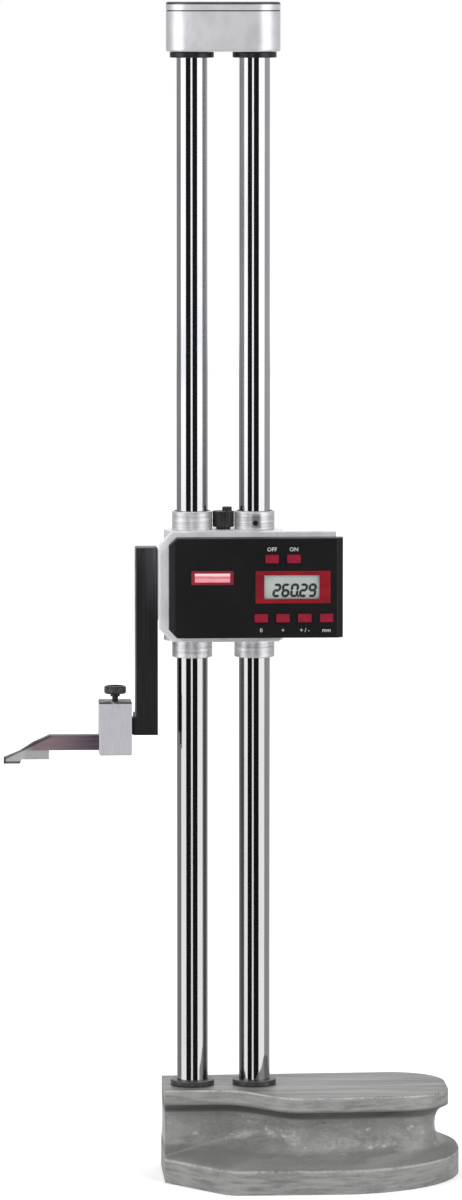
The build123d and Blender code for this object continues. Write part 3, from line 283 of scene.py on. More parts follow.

# %% [markdown]
# ## The cast foot
# The foot is grey iron, painted, with a hollow waist for the hand. Paint over a
# sand casting is never flat: it has a fine orange-peel grain and broad soft
# lumps, strongest in the waist where the mould was patched, and pale spots in
# the waist are painted highlights. The top of the deck was ground after casting,
# which leaves long straight streaks, and it is painted darker than the sides as
# painted shade. The paint is thin along the edges that are knocked most, and
# those light lines also stand as painted highlights. Painted shade darkens a band
# under the upper flange and a fainter one above the lower flange.

# %% Cast iron paint
def cast_paint():
    f = Finish("cast_grey_paint")
    z = f.along("Z")
    top = span("base_casting", "Z")[1]
    step, ledge = 17.0, 56.0    # top of the lower flange, underside of the upper one
    lumps = f.grain(13.0, (1.7, 1.7, 1.0), detail=3.0, rough=0.55)
    skin = f.grain(1.8, (1.6, 1, 1), detail=3.0, rough=0.6)
    patch = f.grain(9.0, (1.5, 1.5, 1.0), detail=4.0, rough=0.6)
    streaks = f.grain(7.0, (16, 1, 1), detail=5.0, rough=0.75)
    drag = f.grain(2.2, (9, 9, 1), detail=3.0, rough=0.6)
    deck = f.rise(z, top - 0.3, top - 0.05)
    waist = f.band(z, step + 11, ledge - 10, 6)
    flat = (1 - f.rise(z, step - 0.4, step + 1)) + f.rise(z, ledge - 0.4, ledge + 0.4) * (1 - deck)
    # Light lines along the two edges: partly worn paint, partly a painted highlight on the rounded edges.
    edges = f.band(z, step - 1.2, step - 0.1, 0.5) + f.band(z, top - 1.3, top - 0.4, 0.3)
    wear_and_edge_highlight = f.rise(lumps * 0.6 + skin * 0.6, 0.45, 0.7) * edges * (1 - deck)
    body = f.mixed(f.rise(lumps, 0.3, 0.7), tone(122, 122, 121), tone(143, 143, 141))
    body = f.mixed(f.rise(skin, 0.45, 0.8) * 0.4, body, tone(163, 163, 160))
    # Pale spots in the waist are painted highlights.
    body = f.mixed(f.rise(patch, 0.6, 0.76) * waist * 0.75, body, tone(205, 205, 202))
    body = f.mixed(flat * f.rise(drag, 0.4, 0.7) * 0.6, body, tone(166, 166, 164))
    body = f.mixed(flat * (1 - f.rise(drag, 0.32, 0.46)) * 0.5, body, tone(96, 96, 95))
    # Painted shade: a dark band under the upper flange and a fainter one above the lower flange.
    painted_shade_bands = f.band(z, ledge - 4.5, ledge - 0.1, 2.6) + f.band(z, step + 1.5, step + 8, 3.5) * 0.5
    body = f.mixed(painted_shade_bands * (0.55 + 0.6 * lumps), body, tone(66, 66, 65))
    # The ground deck top is painted darker than the sides: painted shade on a face the light reaches less.
    ground = f.mixed(f.rise(streaks, 0.36, 0.64), tone(84, 84, 83), tone(132, 132, 130))
    colour = f.mixed(deck, body, ground)
    colour = f.mixed(wear_and_edge_highlight * 0.8, colour, tone(190, 190, 187))
    height = lumps * (0.3 + 2.2 * waist) + skin * 0.2 + drag * flat * 0.12
    normal = f.bumps(height * (1 - deck) + streaks * 0.05 * deck, 1.5)
    rough = 0.46 - 0.06 * deck - 0.2 * waist + 0.1 * skin
    return f.done(colour, rough, 0.0, normal, Specular_IOR_Level=0.75)


dress(cast_paint(), "base_casting")

# %% [markdown]
# ## Hard chrome
# The columns are ground round and then chromed. A mirror shows what stands
# about it, so most of their look comes from the lamps and screens further down.
# The grinding leaves lines round the column that are far finer than a
# millimetre, and hands leave slightly duller patches. The lower half is painted
# greyer, and most of all the two faces that look at each other. It is a choice
# made for the look: painted shade that keeps the lower half's reflection from
# shining as white as the upper one.

# %% Hard chrome and bright steel
def hard_chrome():
    f = Finish("hard_chrome")
    rings = f.grain(0.35, (60, 60, 1), detail=2.0)
    touch = f.grain(26.0, (1, 1, 3.0), detail=3.0)
    colour = f.mixed(f.rise(touch, 0.4, 0.75), tone(206, 206, 210), tone(192, 193, 199))
    inner_face = span("column_right", "X")[0]
    # Painted shade in the reflection: greyer over the lower half, darkest on the inner faces.
    lower = 1 - f.rise(f.along("Z"), 280, 620)
    darkening = (1 - f.rise(abs(f.along("X")), inner_face + 2.2, inner_face + 4.2)) * (0.2 + 0.8 * lower)
    colour = f.mixed(0.8 * lower, colour, tone(170, 170, 171))
    colour = f.mixed(0.75 * darkening, colour, tone(132, 131, 127))
    rough = 0.045 + 0.05 * f.rise(touch, 0.45, 0.8) + 0.02 * rings
    return f.done(colour, rough, 1.0, f.bumps(rings, 0.0012))


def ground_steel(name, shade, size=0.3, stretch=(20, 1, 20), rough=0.28):
    """Bright steel with the fine straight lines of grinding or turning."""
    f = Finish(name)
    lines = f.grain(size, stretch, detail=3.0)
    stain = f.grain(7.0, detail=3.0)
    colour = f.mixed(f.rise(stain, 0.35, 0.75), tone(*shade), scaled(shade, 0.82))
    return f.done(colour, rough + 0.16 * f.rise(lines, 0.3, 0.8), 1.0, f.bumps(lines, 0.004))


dress(hard_chrome(), "column_left", "column_right")
dress(ground_steel("rack_steel", (176, 176, 180), 0.25, (1, 1, 12)), "rack_strip")
dress(ground_steel("shaft_steel", (188, 188, 192), 0.2, (1, 20, 20), 0.22),
      "drive_shaft", "encoder_shaft", "crank_pin", "lock_shaft", "drive_pinion", "encoder_pinion")
dress(ground_steel("bearing_steel", (170, 170, 176), 0.2, (1, 20, 20), 0.3),
      "shaft_bearings", "encoder_bearings", "battery_cell", "battery_spring")

# %% [markdown]
# ## Blackened steel
# Screws and rings are blackened in a hot salt bath. The black is thin, so it
# shines a little, lies unevenly in patches, and rubs back to grey along the
# fine lines of turning. One recipe does them all, with the shade, the line
# direction and the amount of rubbing as its inputs.

# %% Blackened steel
def blackened(name, shade, rubbed, lines=(1, 1, 20), rough=0.36, share=0.3):
    f = Finish(name)
    marks = f.grain(0.35, lines, detail=3.0, rough=0.6)
    patches = f.grain(9.0, (1, 1, 2), detail=4.0, rough=0.6)
    thin = f.rise(marks, 0.5, 0.85) * share + f.rise(patches, 0.55, 0.8) * share * 0.6
    colour = f.mixed(thin, tone(*shade), tone(*rubbed))
    return f.done(colour, rough + 0.14 * f.rise(patches, 0.3, 0.7), 0.25, f.bumps(marks, 0.006))


dress(blackened("black_screws", (26, 26, 28), (92, 92, 96)),
      "rack_screws", "column_screws", "bracket_screws", "bushing_screw", "gear_cover_screws",
      "arm_screws", "case_screws", "wheel_screw")
dress(blackened("black_rings", (22, 22, 23), (108, 108, 112), (20, 20, 1), 0.3, 0.35), "stop_rings")
dress(blackened("grey_rings", (62, 62, 62), (128, 128, 130), (14, 14, 1), 0.34, 0.8), "foot_rings")

# %% [markdown]
# ## The measuring arm
# The arm is flat bar under black paint, brushed on from end to end, so the
# drags of the brush run up and down. Light catching it towards the top is
# painted in as a paler veil, and lighter lines run along the top corner and
# the upright's left corner. Those marks are placed from the arm's own ends.

# %% Black arm
def arm_black():
    f = Finish("arm_black_paint")
    drag = f.grain(0.9, (1, 1, 60), detail=3.0, rough=0.6)
    skin = f.grain(0.5, detail=2.0)
    x, z = f.along("X"), f.along("Z")
    top, upright = span("measuring_arm", "Z")[1], -62.0
    corner = f.rise(z, top - 0.7, top - 0.2)
    upper = f.rise(z, top - 53.3, top + 0.7)
    left = (1 - f.rise(x, upright - 0.3, upright + 0.3)) * f.rise(z, 330, 334)
    veil = f.rise(x, upright + 2, upright + 12) * 0.5 + f.rise(drag, 0.45, 0.75) * 0.5
    colour = f.mixed(f.rise(drag, 0.45, 0.8) * 0.55, tone(14, 14, 15), tone(44, 44, 46))
    colour = f.mixed(upper * veil, colour, tone(84, 82, 88))
    colour = f.mixed(corner * 0.8, colour, tone(98, 97, 102))
    colour = f.mixed(left * 0.7, colour, tone(150, 150, 152))
    normal = f.bumps(drag * 0.6 + skin * 0.4, 0.05)
    return f.done(colour, 0.4 + 0.15 * drag, 0.0, normal, Specular_IOR_Level=0.3)


dress(arm_black(), "measuring_arm")

# %% [markdown]
# ## Silver castings and turned collars
# The carriage and the top bracket are aluminium castings under silver paint:
# pale, slightly metallic, with a fine sand skin. The collars that guide the
# columns are turned from bar, so they carry rings instead.

# %% Silver paint and turned aluminium
def silver_paint(name, shade, metallic, rough, skin_depth=0.05, sparkle=0.2, dark=()):
    """Sand-cast skin under silver paint, with dark bands at the heights given."""
    f = Finish(name)
    skin = f.grain(0.9, detail=3.0, rough=0.6)
    cloud = f.grain(11.0, (1, 1, 1.6), detail=3.0)
    flake = f.grain(0.25, detail=0.0)
    colour = f.mixed(f.rise(cloud, 0.35, 0.7), tone(*shade), scaled(shade, 0.94))
    colour = f.mixed(f.rise(flake, 0.6, 0.8) * sparkle, colour, tone(246, 246, 248))
    for low, high in dark:
        colour = f.mixed(f.band(f.along("Z"), low, high, 0.15) * 0.9, colour, tone(34, 34, 36))
    return f.done(colour, rough + 0.12 * f.rise(skin, 0.3, 0.8), metallic, f.bumps(skin, skin_depth))


def turned(name, shade, metallic, rough):
    """Rings from the lathe, and an oil stain about the bushing's screw."""
    f = Finish(name)
    rings = f.grain(0.5, (80, 80, 1), detail=3.0, rough=0.65)
    stain = f.grain(5.0, (1, 1, 2), detail=3.0)
    colour = f.mixed(f.rise(rings, 0.35, 0.72), scaled(shade, 0.8), tone(*shade))
    colour = f.mixed(f.rise(stain, 0.5, 0.8) * 0.35, colour, scaled(shade, 0.72))
    left, right = span("bushing_screw", "X")
    low, high = span("bushing_screw", "Z")
    across = f.band(f.along("X"), left + 0.3, right + 0.7, 2.2)
    up = f.band(f.along("Z"), low - 0.28, high + 2.92, 3.0)
    darkening = across * up * (1 - f.rise(f.along("Y"), -6, -4))
    colour = f.mixed(darkening * 0.7, colour, tone(84, 82, 84))
    return f.done(colour, rough + 0.15 * f.rise(stain, 0.4, 0.8), metallic, f.bumps(rings, 0.03))


top = span("top_bracket", "Z")[1]
lid_shadows = [(top - 6.7, top - 6.0), (top - 1.9, top - 0.1)]    # the lid's joint and its top edge
dress(silver_paint("bracket_silver", (230, 230, 234), 0.8, 0.4, 0.003, 0.04, lid_shadows), "top_bracket")
dress(silver_paint("carriage_silver", (232, 232, 236), 0.2, 0.34), "slider_body", "gear_cover")
dress(turned("turned_aluminium", (244, 244, 246), 0.6, 0.36),
      "bushings_upper", "bushings_lower", "encoder_disc")
dress(blackened("wiper_felt", (58, 56, 54), (96, 92, 88), (1, 1, 1), 0.85), "column_wipers")

# %% [markdown]
# ## The scriber, its clamp and the brass pad
# The scriber bar is tool steel, tempered until it turns purple-brown, with a
# grey carbide edge brazed under its nose. The clamp round it is bright and
# brushed upright, and darker in patches across its top. All of these read their
# place along the bar, because the heat colour changes towards the nose.

# %% Scriber finishes
NOSE_START, NOSE_SLOPE = -122.8, 0.489     # where the top edge begins to fall, and how fast


def nose_edge(f):
    """1 along the sloping top edge of the nose."""
    reach = NOSE_START - f.along("X")
    below = span("scriber_bar", "Z")[1] - f.along("Z") - NOSE_SLOPE * reach
    return (1 - f.rise(below, 1.0, 1.9)) * f.rise(reach, -3.0, 1.0)


def tempered_scriber():
    f = Finish("tempered_scriber")
    brush = f.grain(0.6, (40, 1, 1), detail=3.0, rough=0.6)
    patch = f.grain(6.0, (3, 1, 1), detail=3.0)
    x, z = f.along("X"), f.along("Z")
    top = span("scriber_bar", "Z")[1]
    heat = f.rise(x, -128.0, -88.0)
    nose = 1 - f.rise(x, -141.0, -134.0)
    colour = f.mixed(heat, tone(138, 118, 124), tone(74, 60, 74))
    colour = f.mixed(f.rise(brush, 0.4, 0.75) * 0.4, colour, tone(128, 116, 124))
    colour = f.mixed(f.rise(patch, 0.5, 0.8) * 0.35, colour, tone(62, 50, 62))
    colour = f.mixed(nose * 0.8, colour, tone(172, 168, 170))
    colour = f.mixed(f.rise(z, top - 0.8, top - 0.1) * 0.7, colour, tone(70, 66, 70))
    colour = f.mixed(nose_edge(f) * 0.85, colour, tone(56, 52, 55))
    return f.done(colour, 0.34 + 0.16 * f.rise(patch, 0.3, 0.8), 0.35, f.bumps(brush, 0.012))


def bright_clamp():
    f = Finish("brushed_clamp")
    brush = f.grain(0.5, (1, 1, 30), detail=3.0, rough=0.6)
    stain = f.grain(6.0, detail=3.0)
    x, z = f.along("X"), f.along("Z")
    left, right = span("scriber_clamp", "X")
    low, high = span("scriber_clamp", "Z")
    top = f.rise(z, high - 1.4, high - 1)
    foot = 1 - f.rise(z, low + 0.1, low + 0.8)
    side = f.band(x, left - 0.1, left + 0.5, 0.2) + f.rise(x, right - 1.2, right - 0.5)
    colour = f.mixed(f.rise(brush, 0.3, 0.75), tone(180, 179, 186), tone(196, 195, 201))
    colour = f.mixed(f.rise(stain, 0.5, 0.8) * 0.3, colour, tone(165, 164, 171))
    colour = f.mixed(side * 0.4, colour, tone(214, 214, 218))
    colour = f.mixed(foot * 0.5, colour, tone(84, 84, 88))
    colour = f.mixed(top * f.rise(stain, 0.2, 0.5), colour, tone(58, 57, 60))
    return f.done(colour, 0.4 + 0.12 * stain, 0.2, f.bumps(brush, 0.01))


def carbide_grey():
    f = Finish("carbide_grey")
    grit = f.grain(0.4, detail=3.0)
    x, z = f.along("X"), f.along("Z")
    left, low = span("carbide_tip", "X")[0], span("carbide_tip", "Z")[0]
    end = 1 - f.rise(x, left + 0.9, left + 1.9)
    under = 1 - f.rise(z, low + 1.2, low + 2.2)
    nose = 1 - f.rise(x, left + 13.5, left + 16.5)
    colour = f.mixed(f.rise(grit, 0.3, 0.7), tone(168, 166, 166), tone(186, 184, 185))
    colour = f.mixed(nose * 0.35, colour, tone(214, 213, 214))
    colour = f.mixed(end * 0.9 + under * 0.85, colour, tone(62, 60, 62))
    colour = f.mixed(nose_edge(f) * 0.8, colour, tone(70, 67, 70))
    return f.done(colour, 0.3 + 0.1 * grit, 0.3, f.bumps(grit, 0.006))


dress(tempered_scriber(), "scriber_bar")
dress(bright_clamp(), "scriber_clamp")
dress(carbide_grey(), "carbide_tip")
dress(ground_steel("pad_brass", (188, 150, 92), 0.3, (20, 20, 1)), "clamp_pad")
dress(ground_steel("lock_bronze", (160, 116, 78), 0.3, (1, 1, 20)), "lock_pad")

# %% [markdown]
# ## Knobs and the handwheel
# The lock knob and handwheel are moulded black plastic, glossier where fingers
# polish them. The thumb screw is blackened steel whose rim is knurled: two sets
# of slanting ridges cross and leave small points. That is a pattern that
# repeats round a circle, so Geometry Nodes make it further down.

# %% Black plastics
def moulded(name, shade, rough=0.35):
    f = Finish(name)
    skin = f.grain(0.45, detail=2.0)
    touch = f.grain(8.0, detail=3.0)
    colour = f.mixed(f.rise(touch, 0.45, 0.8) * 0.5, tone(*shade), tone(52, 52, 55))
    return f.done(colour, rough + 0.16 * f.rise(touch, 0.3, 0.7), 0.0, f.bumps(skin, 0.03))


dress(moulded("knob_black", (22, 22, 23)), "lock_knob")
dress(moulded("wheel_black", (24, 24, 26), 0.32), "handwheel", "crank_knob")
thumb_black = blackened("thumb_screw_black", (38, 38, 38), (120, 120, 117), (20, 20, 1), 0.3, 0.6)
knurl_black = blackened("knurl_rubbed", (40, 40, 39), (214, 214, 208), (1, 1, 3), 0.3, 1.6)
dress(thumb_black, "thumb_screw")

# %% [markdown]
# ## The display case
# The case is a black moulding with a fine spark-eroded texture. A red frame
# surrounds a clear window, and the liquid crystal glass behind it is a pale
# grey-green. The red keys are a softer plastic. Each gets its own grain, and
# the window is the only clear piece, so it keeps its thickness and a faint
# gloss.

# %% Case, frame, keys, glass
def case_plastic():
    f = Finish("case_black_texture")
    spark = f.grain(0.35, detail=2.0, rough=0.7)
    haze = f.grain(24.0, (1, 1, 1.4), detail=3.0)
    x, z = f.along("X"), f.along("Z")
    left, right = span("display_case", "X")
    top = span("display_case", "Z")[1]
    # The lighter rim along the sides and the top edge is a painted highlight on the case's edges.
    rim = (1 - f.rise(x, left + 0.1, left + 0.9)) + f.rise(x, right - 0.8, right - 0.1)
    rim = rim + f.rise(z, top - 0.65, top - 0.15)
    colour = f.mixed(f.rise(haze, 0.3, 0.75), tone(8, 8, 10), tone(14, 14, 16))
    colour = f.mixed(f.rise(spark, 0.55, 0.85) * 0.4, colour, tone(26, 26, 29))
    colour = f.mixed(rim * 0.35, colour, tone(60, 60, 64))
    return f.done(colour, 0.42 + 0.14 * spark, 0.0, f.bumps(spark, 0.03), Specular_IOR_Level=0.22)


def red_frame():
    f = Finish("frame_red")
    skin = f.grain(0.5, detail=2.0)
    pool = f.grain(9.0, (2, 1, 1), detail=2.0)
    colour = f.mixed(f.rise(pool, 0.3, 0.7), tone(146, 4, 26), tone(118, 4, 26))
    return f.done(colour, 0.36 + 0.1 * skin, 0.0, f.bumps(skin, 0.01), Specular_IOR_Level=0.3)


def red_key():
    f = Finish("key_red_rubber")
    skin = f.grain(0.4, detail=2.0)
    wear = f.grain(2.4, detail=3.0)
    colour = f.mixed(f.rise(wear, 0.35, 0.75), tone(144, 6, 40), tone(116, 8, 42))
    return f.done(colour, 0.5 + 0.15 * skin, 0.0, f.bumps(skin, 0.02), Specular_IOR_Level=0.25)


def clear_window():
    f = Finish("clear_window")
    smear = f.grain(7.0, (2, 1, 1), detail=3.0)
    gloss = f.node("ShaderNodeBsdfPrincipled", values={
        "Base Color": tone(250, 252, 252), "Roughness": 0.05 + 0.06 * f.rise(smear, 0.4, 0.8), "IOR": 1.49})
    through = f.node("ShaderNodeBsdfTransparent")
    edge = f.node("ShaderNodeFresnel", values={"IOR": 1.35})
    both = f.node("ShaderNodeMixShader", values={0: edge, 1: through, 2: gloss})
    f.node("ShaderNodeOutputMaterial", values={"Surface": both})
    return f.material


def crystal_glass():
    f = Finish("lcd_grey_green")
    cloud = f.grain(12.0, (1.5, 1, 1), detail=2.0)
    fine = f.grain(0.3, detail=0.0)
    x, z = f.along("X"), f.along("Z")
    left, right = span("window_glass", "X")
    low, high = span("window_glass", "Z")
    # The darker edges are painted shade from the red frame round the recessed glass.
    sides = (1 - f.rise(x, left - 0.1, left + 1.7)) + f.rise(x, right - 1.6, right)
    edge = sides + f.rise(z, high - 1.8, high - 0.2) + (1 - f.rise(z, low, low + 1.6))
    colour = f.mixed(f.rise(cloud, 0.3, 0.7), tone(250, 255, 252), tone(238, 248, 242))
    colour = f.mixed(f.rise(fine, 0.45, 0.75) * 0.2, colour, tone(236, 244, 238))
    colour = f.mixed(edge * 0.3, colour, tone(150, 160, 154))
    return f.done(colour, 0.34 + 0.1 * cloud, 0.0, f.bumps(fine, 0.002))


def board_green():
    f = Finish("board_green")
    weave = f.grain(0.6, (1, 1, 4), detail=1.0)
    colour = f.mixed(f.rise(weave, 0.4, 0.7), tone(22, 74, 46), tone(34, 96, 60))
    return f.done(colour, 0.4 + 0.1 * weave, 0.0, f.bumps(weave, 0.01))


dress(case_plastic(), "display_case", "battery_cover", "encoder_reader", "board_spacers")
dress(red_frame(), "window_bezel")
dress(red_key(), "key_bottom_1", "key_bottom_2", "key_bottom_3", "key_bottom_4",
      "key_top_left", "key_top_right")
dress(moulded("mat_rubber", (60, 60, 62), 0.6), "keypad_mats")
dress(clear_window(), "window_glass")
dress(crystal_glass(), "lcd_panel")
dress(board_green(), "circuit_board")
bare = [name for name, thing in nodes.items() if not thing.data.materials]
print("solids without a finish:", bare)

# %% [markdown]
# ## Growing pieces with Geometry Nodes
# A rule that repeats is better kept as a tree than as a hundred copies. The
# class below builds a tree with named sizes, sets them on the modifier by their
# socket identifiers, runs it once, and keeps the plain mesh. Nothing live is
# left on the finished piece, so it exports as it looks.

# %% A tree that is run once
def placed(name, mesh):
    """A mesh whose place is already in its points, as an object of the scene."""
    mesh.name = name
    piece = bpy.data.objects.new(name, mesh)
    bpy.context.scene.collection.objects.link(piece)
    print(name, len(mesh.polygons), "faces")
    return piece


class Rule(Bench):
    """A Geometry Nodes tree with named sizes."""

    def __init__(self, name):
        super().__init__(bpy.data.node_groups.new(name, "GeometryNodeTree"))
        self.tree.interface.new_socket("Geometry", in_out="INPUT", socket_type="NodeSocketGeometry")
        self.tree.interface.new_socket("Geometry", in_out="OUTPUT", socket_type="NodeSocketGeometry")
        self.entry = self.tree.nodes.new("NodeGroupInput")
        self.given = {}

    def start(self):
        """The points that the tree is given."""
        return Wire(self, self.entry.outputs["Geometry"])

    def size(self, name, value, kind="NodeSocketFloat"):
        """A named input, in metres or as a count, and its value for this piece."""
        socket = self.tree.interface.new_socket(name, in_out="INPUT", socket_type=kind)
        self.given[socket.identifier] = value
        return Wire(self, self.entry.outputs[name])

    def grow(self, name, shapes, material, points=None):
        """Runs the tree and returns its result as one plain object."""
        real = self.node("GeometryNodeRealizeInstances", values={"Geometry": shapes})
        painted = self.node("GeometryNodeSetMaterial", values={"Geometry": real, "Material": material})
        self.node("NodeGroupOutput", values={"Geometry": painted})
        seed = bpy.data.objects.new(name + "_seed", points or bpy.data.meshes.new(name + "_seed"))
        bpy.context.scene.collection.objects.link(seed)
        modifier = seed.modifiers.new(name, "NODES")
        modifier.node_group = self.tree
        for identifier, value in self.given.items():
            modifier[identifier] = value
        ready = seed.evaluated_get(bpy.context.evaluated_depsgraph_get())
        mesh = bpy.data.meshes.new_from_object(ready)
        bpy.data.objects.remove(seed)
        return placed(name, mesh)


print("a tree is ready to be planted")

# %% [markdown]
# ## The knurled rim of the thumb screw
# A knurling wheel rolls one set of slanting ridges into the rim and then the
# other. Here each set is one small bar, stood on the points of a circle,
# turned to face outwards and leaned one way. The two sets cross, which is how
# the diamonds come about.

# %% Knurl
def knurl(name, centre, radius, low, high, count, lean, bar, material):
    """Crossed ridges round a vertical rim, from low to high."""
    r = Rule(name)
    ring = r.size("Ring radius", radius)
    total = r.size("Ridges", count, "NodeSocketInt")
    tall = r.size("Ridge length", (high - low) / math.cos(lean))
    thick = r.size("Ridge width", bar)
    slant = r.size("Lean", lean)
    sides = []
    circle = r.node("GeometryNodeMeshCircle", values={"Vertices": total, "Radius": ring})
    spin = r.node("GeometryNodeInputIndex") * (2 * math.pi) / total
    sizes = r.node("ShaderNodeCombineXYZ", values={"X": thick, "Y": thick, "Z": tall})
    ridge = r.node("GeometryNodeMeshCube", values={"Size": sizes})
    edge_on = r.node("GeometryNodeTransform", values={
        "Geometry": ridge, "Rotation": (0, 0, math.radians(45))})
    for way in (1.0, -1.0):
        leaned = r.node("ShaderNodeCombineXYZ", values={"X": slant * way})
        tilted = r.node("GeometryNodeTransform", values={"Geometry": edge_on, "Rotation": leaned})
        facing = r.node("ShaderNodeCombineXYZ", values={"Z": spin})
        sides.append(r.node("GeometryNodeInstanceOnPoints", values={
            "Points": circle, "Instance": tilted, "Rotation": facing}))
    joined = r.node("GeometryNodeJoinGeometry", values={"Geometry": sides[0]})
    r.tree.links.new(sides[1].socket, joined.socket.node.inputs["Geometry"])
    middle = r.node("GeometryNodeTransform", values={
        "Geometry": joined, "Translation": (centre[0], centre[1], (low + high) / 2)})
    return r.grow(name, middle, material)


SCREW_X, RIM_RADIUS = -76.6 * MM, 7.42 * MM
head_top = span("thumb_screw", "Z")[1] * MM
rim = knurl("thumb_knurl", (SCREW_X, 0.0), RIM_RADIUS, head_top - 4.6 * MM, head_top - 0.8 * MM,
            44, math.radians(28), 0.42 * MM, knurl_black)
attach(rim, "thumb_screw")

# %% [markdown]
# ## The reading
# A liquid crystal display shows each figure with up to seven bars. The lit bars
# are given to the tree as points that carry a turn, and it stands one
# six-cornered bar on each and leans the whole row. Unlit bars are so faint that
# they are left out.

# %% Seven-bar figures
BARS = {"0": "abcdef", "2": "abdeg", "6": "acdefg", "9": "abcdfg"}
SPOT = {"a": (0, 1, 0), "b": (0.5, 0.5, 1), "c": (0.5, -0.5, 1), "d": (0, -1, 0),
        "e": (-0.5, -0.5, 1), "f": (-0.5, 0.5, 1), "g": (0, 0, 0)}    # across, up, quarter turns


def bar_points(name, texts, wide, tall, step, start, low):
    """One point for each lit bar, with its turn, in metres."""
    mesh = bpy.data.meshes.new(name)
    places, turns = [], []
    for index, lit in enumerate(texts):
        for bar in lit:
            across, up, turn = SPOT[bar]
            places.append((start + index * step + across * wide, 0.0, low + tall / 2 + up * tall / 2))
            turns.append(turn * math.pi / 2)
    mesh.from_pydata(places, [], [])
    turned_by = mesh.attributes.new("turn", "FLOAT", "POINT")
    turned_by.data.foreach_set("value", turns)
    return mesh


def figures(name, points, length, width, thick, lean, front, low, material):
    """Stands a flat six-cornered bar on each point, just before the glass."""
    r = Rule(name)
    long, broad = r.size("Bar length", length), r.size("Bar width", width)
    deep, slant = r.size("Bar thickness", thick), r.size("Lean", lean)
    disc = r.node("GeometryNodeMeshCylinder", {"fill_type": "NGON"}, {
        "Vertices": 6, "Radius": 0.5, "Depth": 1.0})
    flat = r.node("GeometryNodeTransform", values={"Geometry": disc, "Rotation": (math.pi / 2, 0, 0)})
    sizes = r.node("ShaderNodeCombineXYZ", values={"X": long, "Y": deep, "Z": broad})
    turn = r.node("GeometryNodeInputNamedAttribute", {"data_type": "FLOAT"}, {"Name": "turn"})
    facing = r.node("ShaderNodeCombineXYZ", values={"Y": turn})
    bars = r.node("GeometryNodeInstanceOnPoints", values={
        "Points": r.start(), "Instance": flat, "Rotation": facing, "Scale": sizes})
    real = r.node("GeometryNodeRealizeInstances", values={"Geometry": bars})
    here = r.node("ShaderNodeSeparateXYZ", values={0: r.node("GeometryNodeInputPosition")}).socket.node
    shift = (Wire(r, here.outputs["Z"]) - low) * slant
    leaning = r.node("ShaderNodeCombineXYZ", values={"X": shift, "Y": front})
    moved = r.node("GeometryNodeSetPosition", values={"Geometry": real, "Offset": leaning})
    return r.grow(name, moved, material, points)


def crystal_ink(shade):
    """Ink-dark crystal with a slight cloudiness."""
    f = Finish("crystal_dark")
    cloud = f.grain(2.0, detail=2.0)
    return f.done(f.mixed(cloud, tone(*shade), scaled(shade, 1.25)), 0.3 + 0.1 * cloud)


READING = "26029"
FIG_LEFT, FIG_LOW = 35.6 * MM, 418.7 * MM          # middle and foot of the first figure
FIG_TALL, FIG_WIDE, FIG_STEP = 7.9 * MM, 4.0 * MM, 6.25 * MM
BAR_LONG, BAR_WIDE, BAR_THICK = 4.5 * MM, 2.1 * MM, 0.03 * MM
glass_front = span("lcd_panel", "Y")[0] * MM
dark = crystal_ink((10, 26, 22))
lit = bar_points("lit_bars", [BARS[c] for c in READING], FIG_WIDE, FIG_TALL, FIG_STEP, FIG_LEFT, FIG_LOW)
reading = figures("reading_figures", lit, BAR_LONG, BAR_WIDE, BAR_THICK, math.tan(math.radians(7)),
                  glass_front - BAR_THICK, FIG_LOW, dark)
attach(reading, "carriage")

# %% [markdown]
# The decimal point is one more spot of the same ink, low between the third and
# the fourth figure. It is a small plate with rounded corners, so the helper that
# cuts it is written for plates of any size.

# %% Decimal point
def rounded_plate(name, x, z, y, radius, material, edge=0.0, steps=5):
    """A plate facing the front, from y[0] to y[1], its corners round and its front edge softened."""
    mesh = bpy.data.meshes.new(name)
    shape = bmesh.new()
    corners = [(x[1] - radius, z[1] - radius, 0), (x[0] + radius, z[1] - radius, 90),
               (x[0] + radius, z[0] + radius, 180), (x[1] - radius, z[0] + radius, 270)]

    def loop(depth, inset):
        ring = []
        for cx, cz, start in corners:
            for step in range(steps + 1):
                angle = math.radians(start + 90 * step / steps)
                across, up = math.cos(angle) * (radius - inset), math.sin(angle) * (radius - inset)
                ring.append(shape.verts.new((cx + across, depth, cz + up)))
        return ring

    rings = [loop(y[1], 0.0), loop(y[0] + edge, 0.0)] + ([loop(y[0], edge)] if edge else [])
    for first, second in zip(rings, rings[1:]):
        for i in range(len(first)):
            j = (i + 1) % len(first)
            shape.faces.new((first[i], first[j], second[j], second[i]))
    shape.faces.new(rings[0])
    shape.faces.new(rings[-1])
    bmesh.ops.recalc_face_normals(shape, faces=shape.faces)
    shape.to_mesh(mesh)
    shape.free()
    mesh.materials.append(material)
    return placed(name, mesh)


point_x = FIG_LEFT + 2.5 * FIG_STEP
point = rounded_plate("reading_point", (point_x - 0.7 * MM, point_x + 0.7 * MM),
                      (FIG_LOW - 1.0 * MM, FIG_LOW + 0.6 * MM),
                      (glass_front - 0.045 * MM, glass_front - 0.005 * MM), 0.3 * MM, dark)
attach(point, "carriage")

# %% [markdown]
# ## The bare nameplate
# Left of the window is a small enamelled plate. Here it stays bare: a red plate
# with a paler, polished middle that catches the light along its top. The same
# helper that cut the decimal point cuts it, and its finish is placed by the
# plate's own sides.

# %% Nameplate
PLATE_LEFT, PLATE_RIGHT, PLATE_LOW, PLATE_HIGH = -24.0, 5.6, 426.9, 436.6    # millimetres
case_front = span("display_case", "Y")[0] * MM


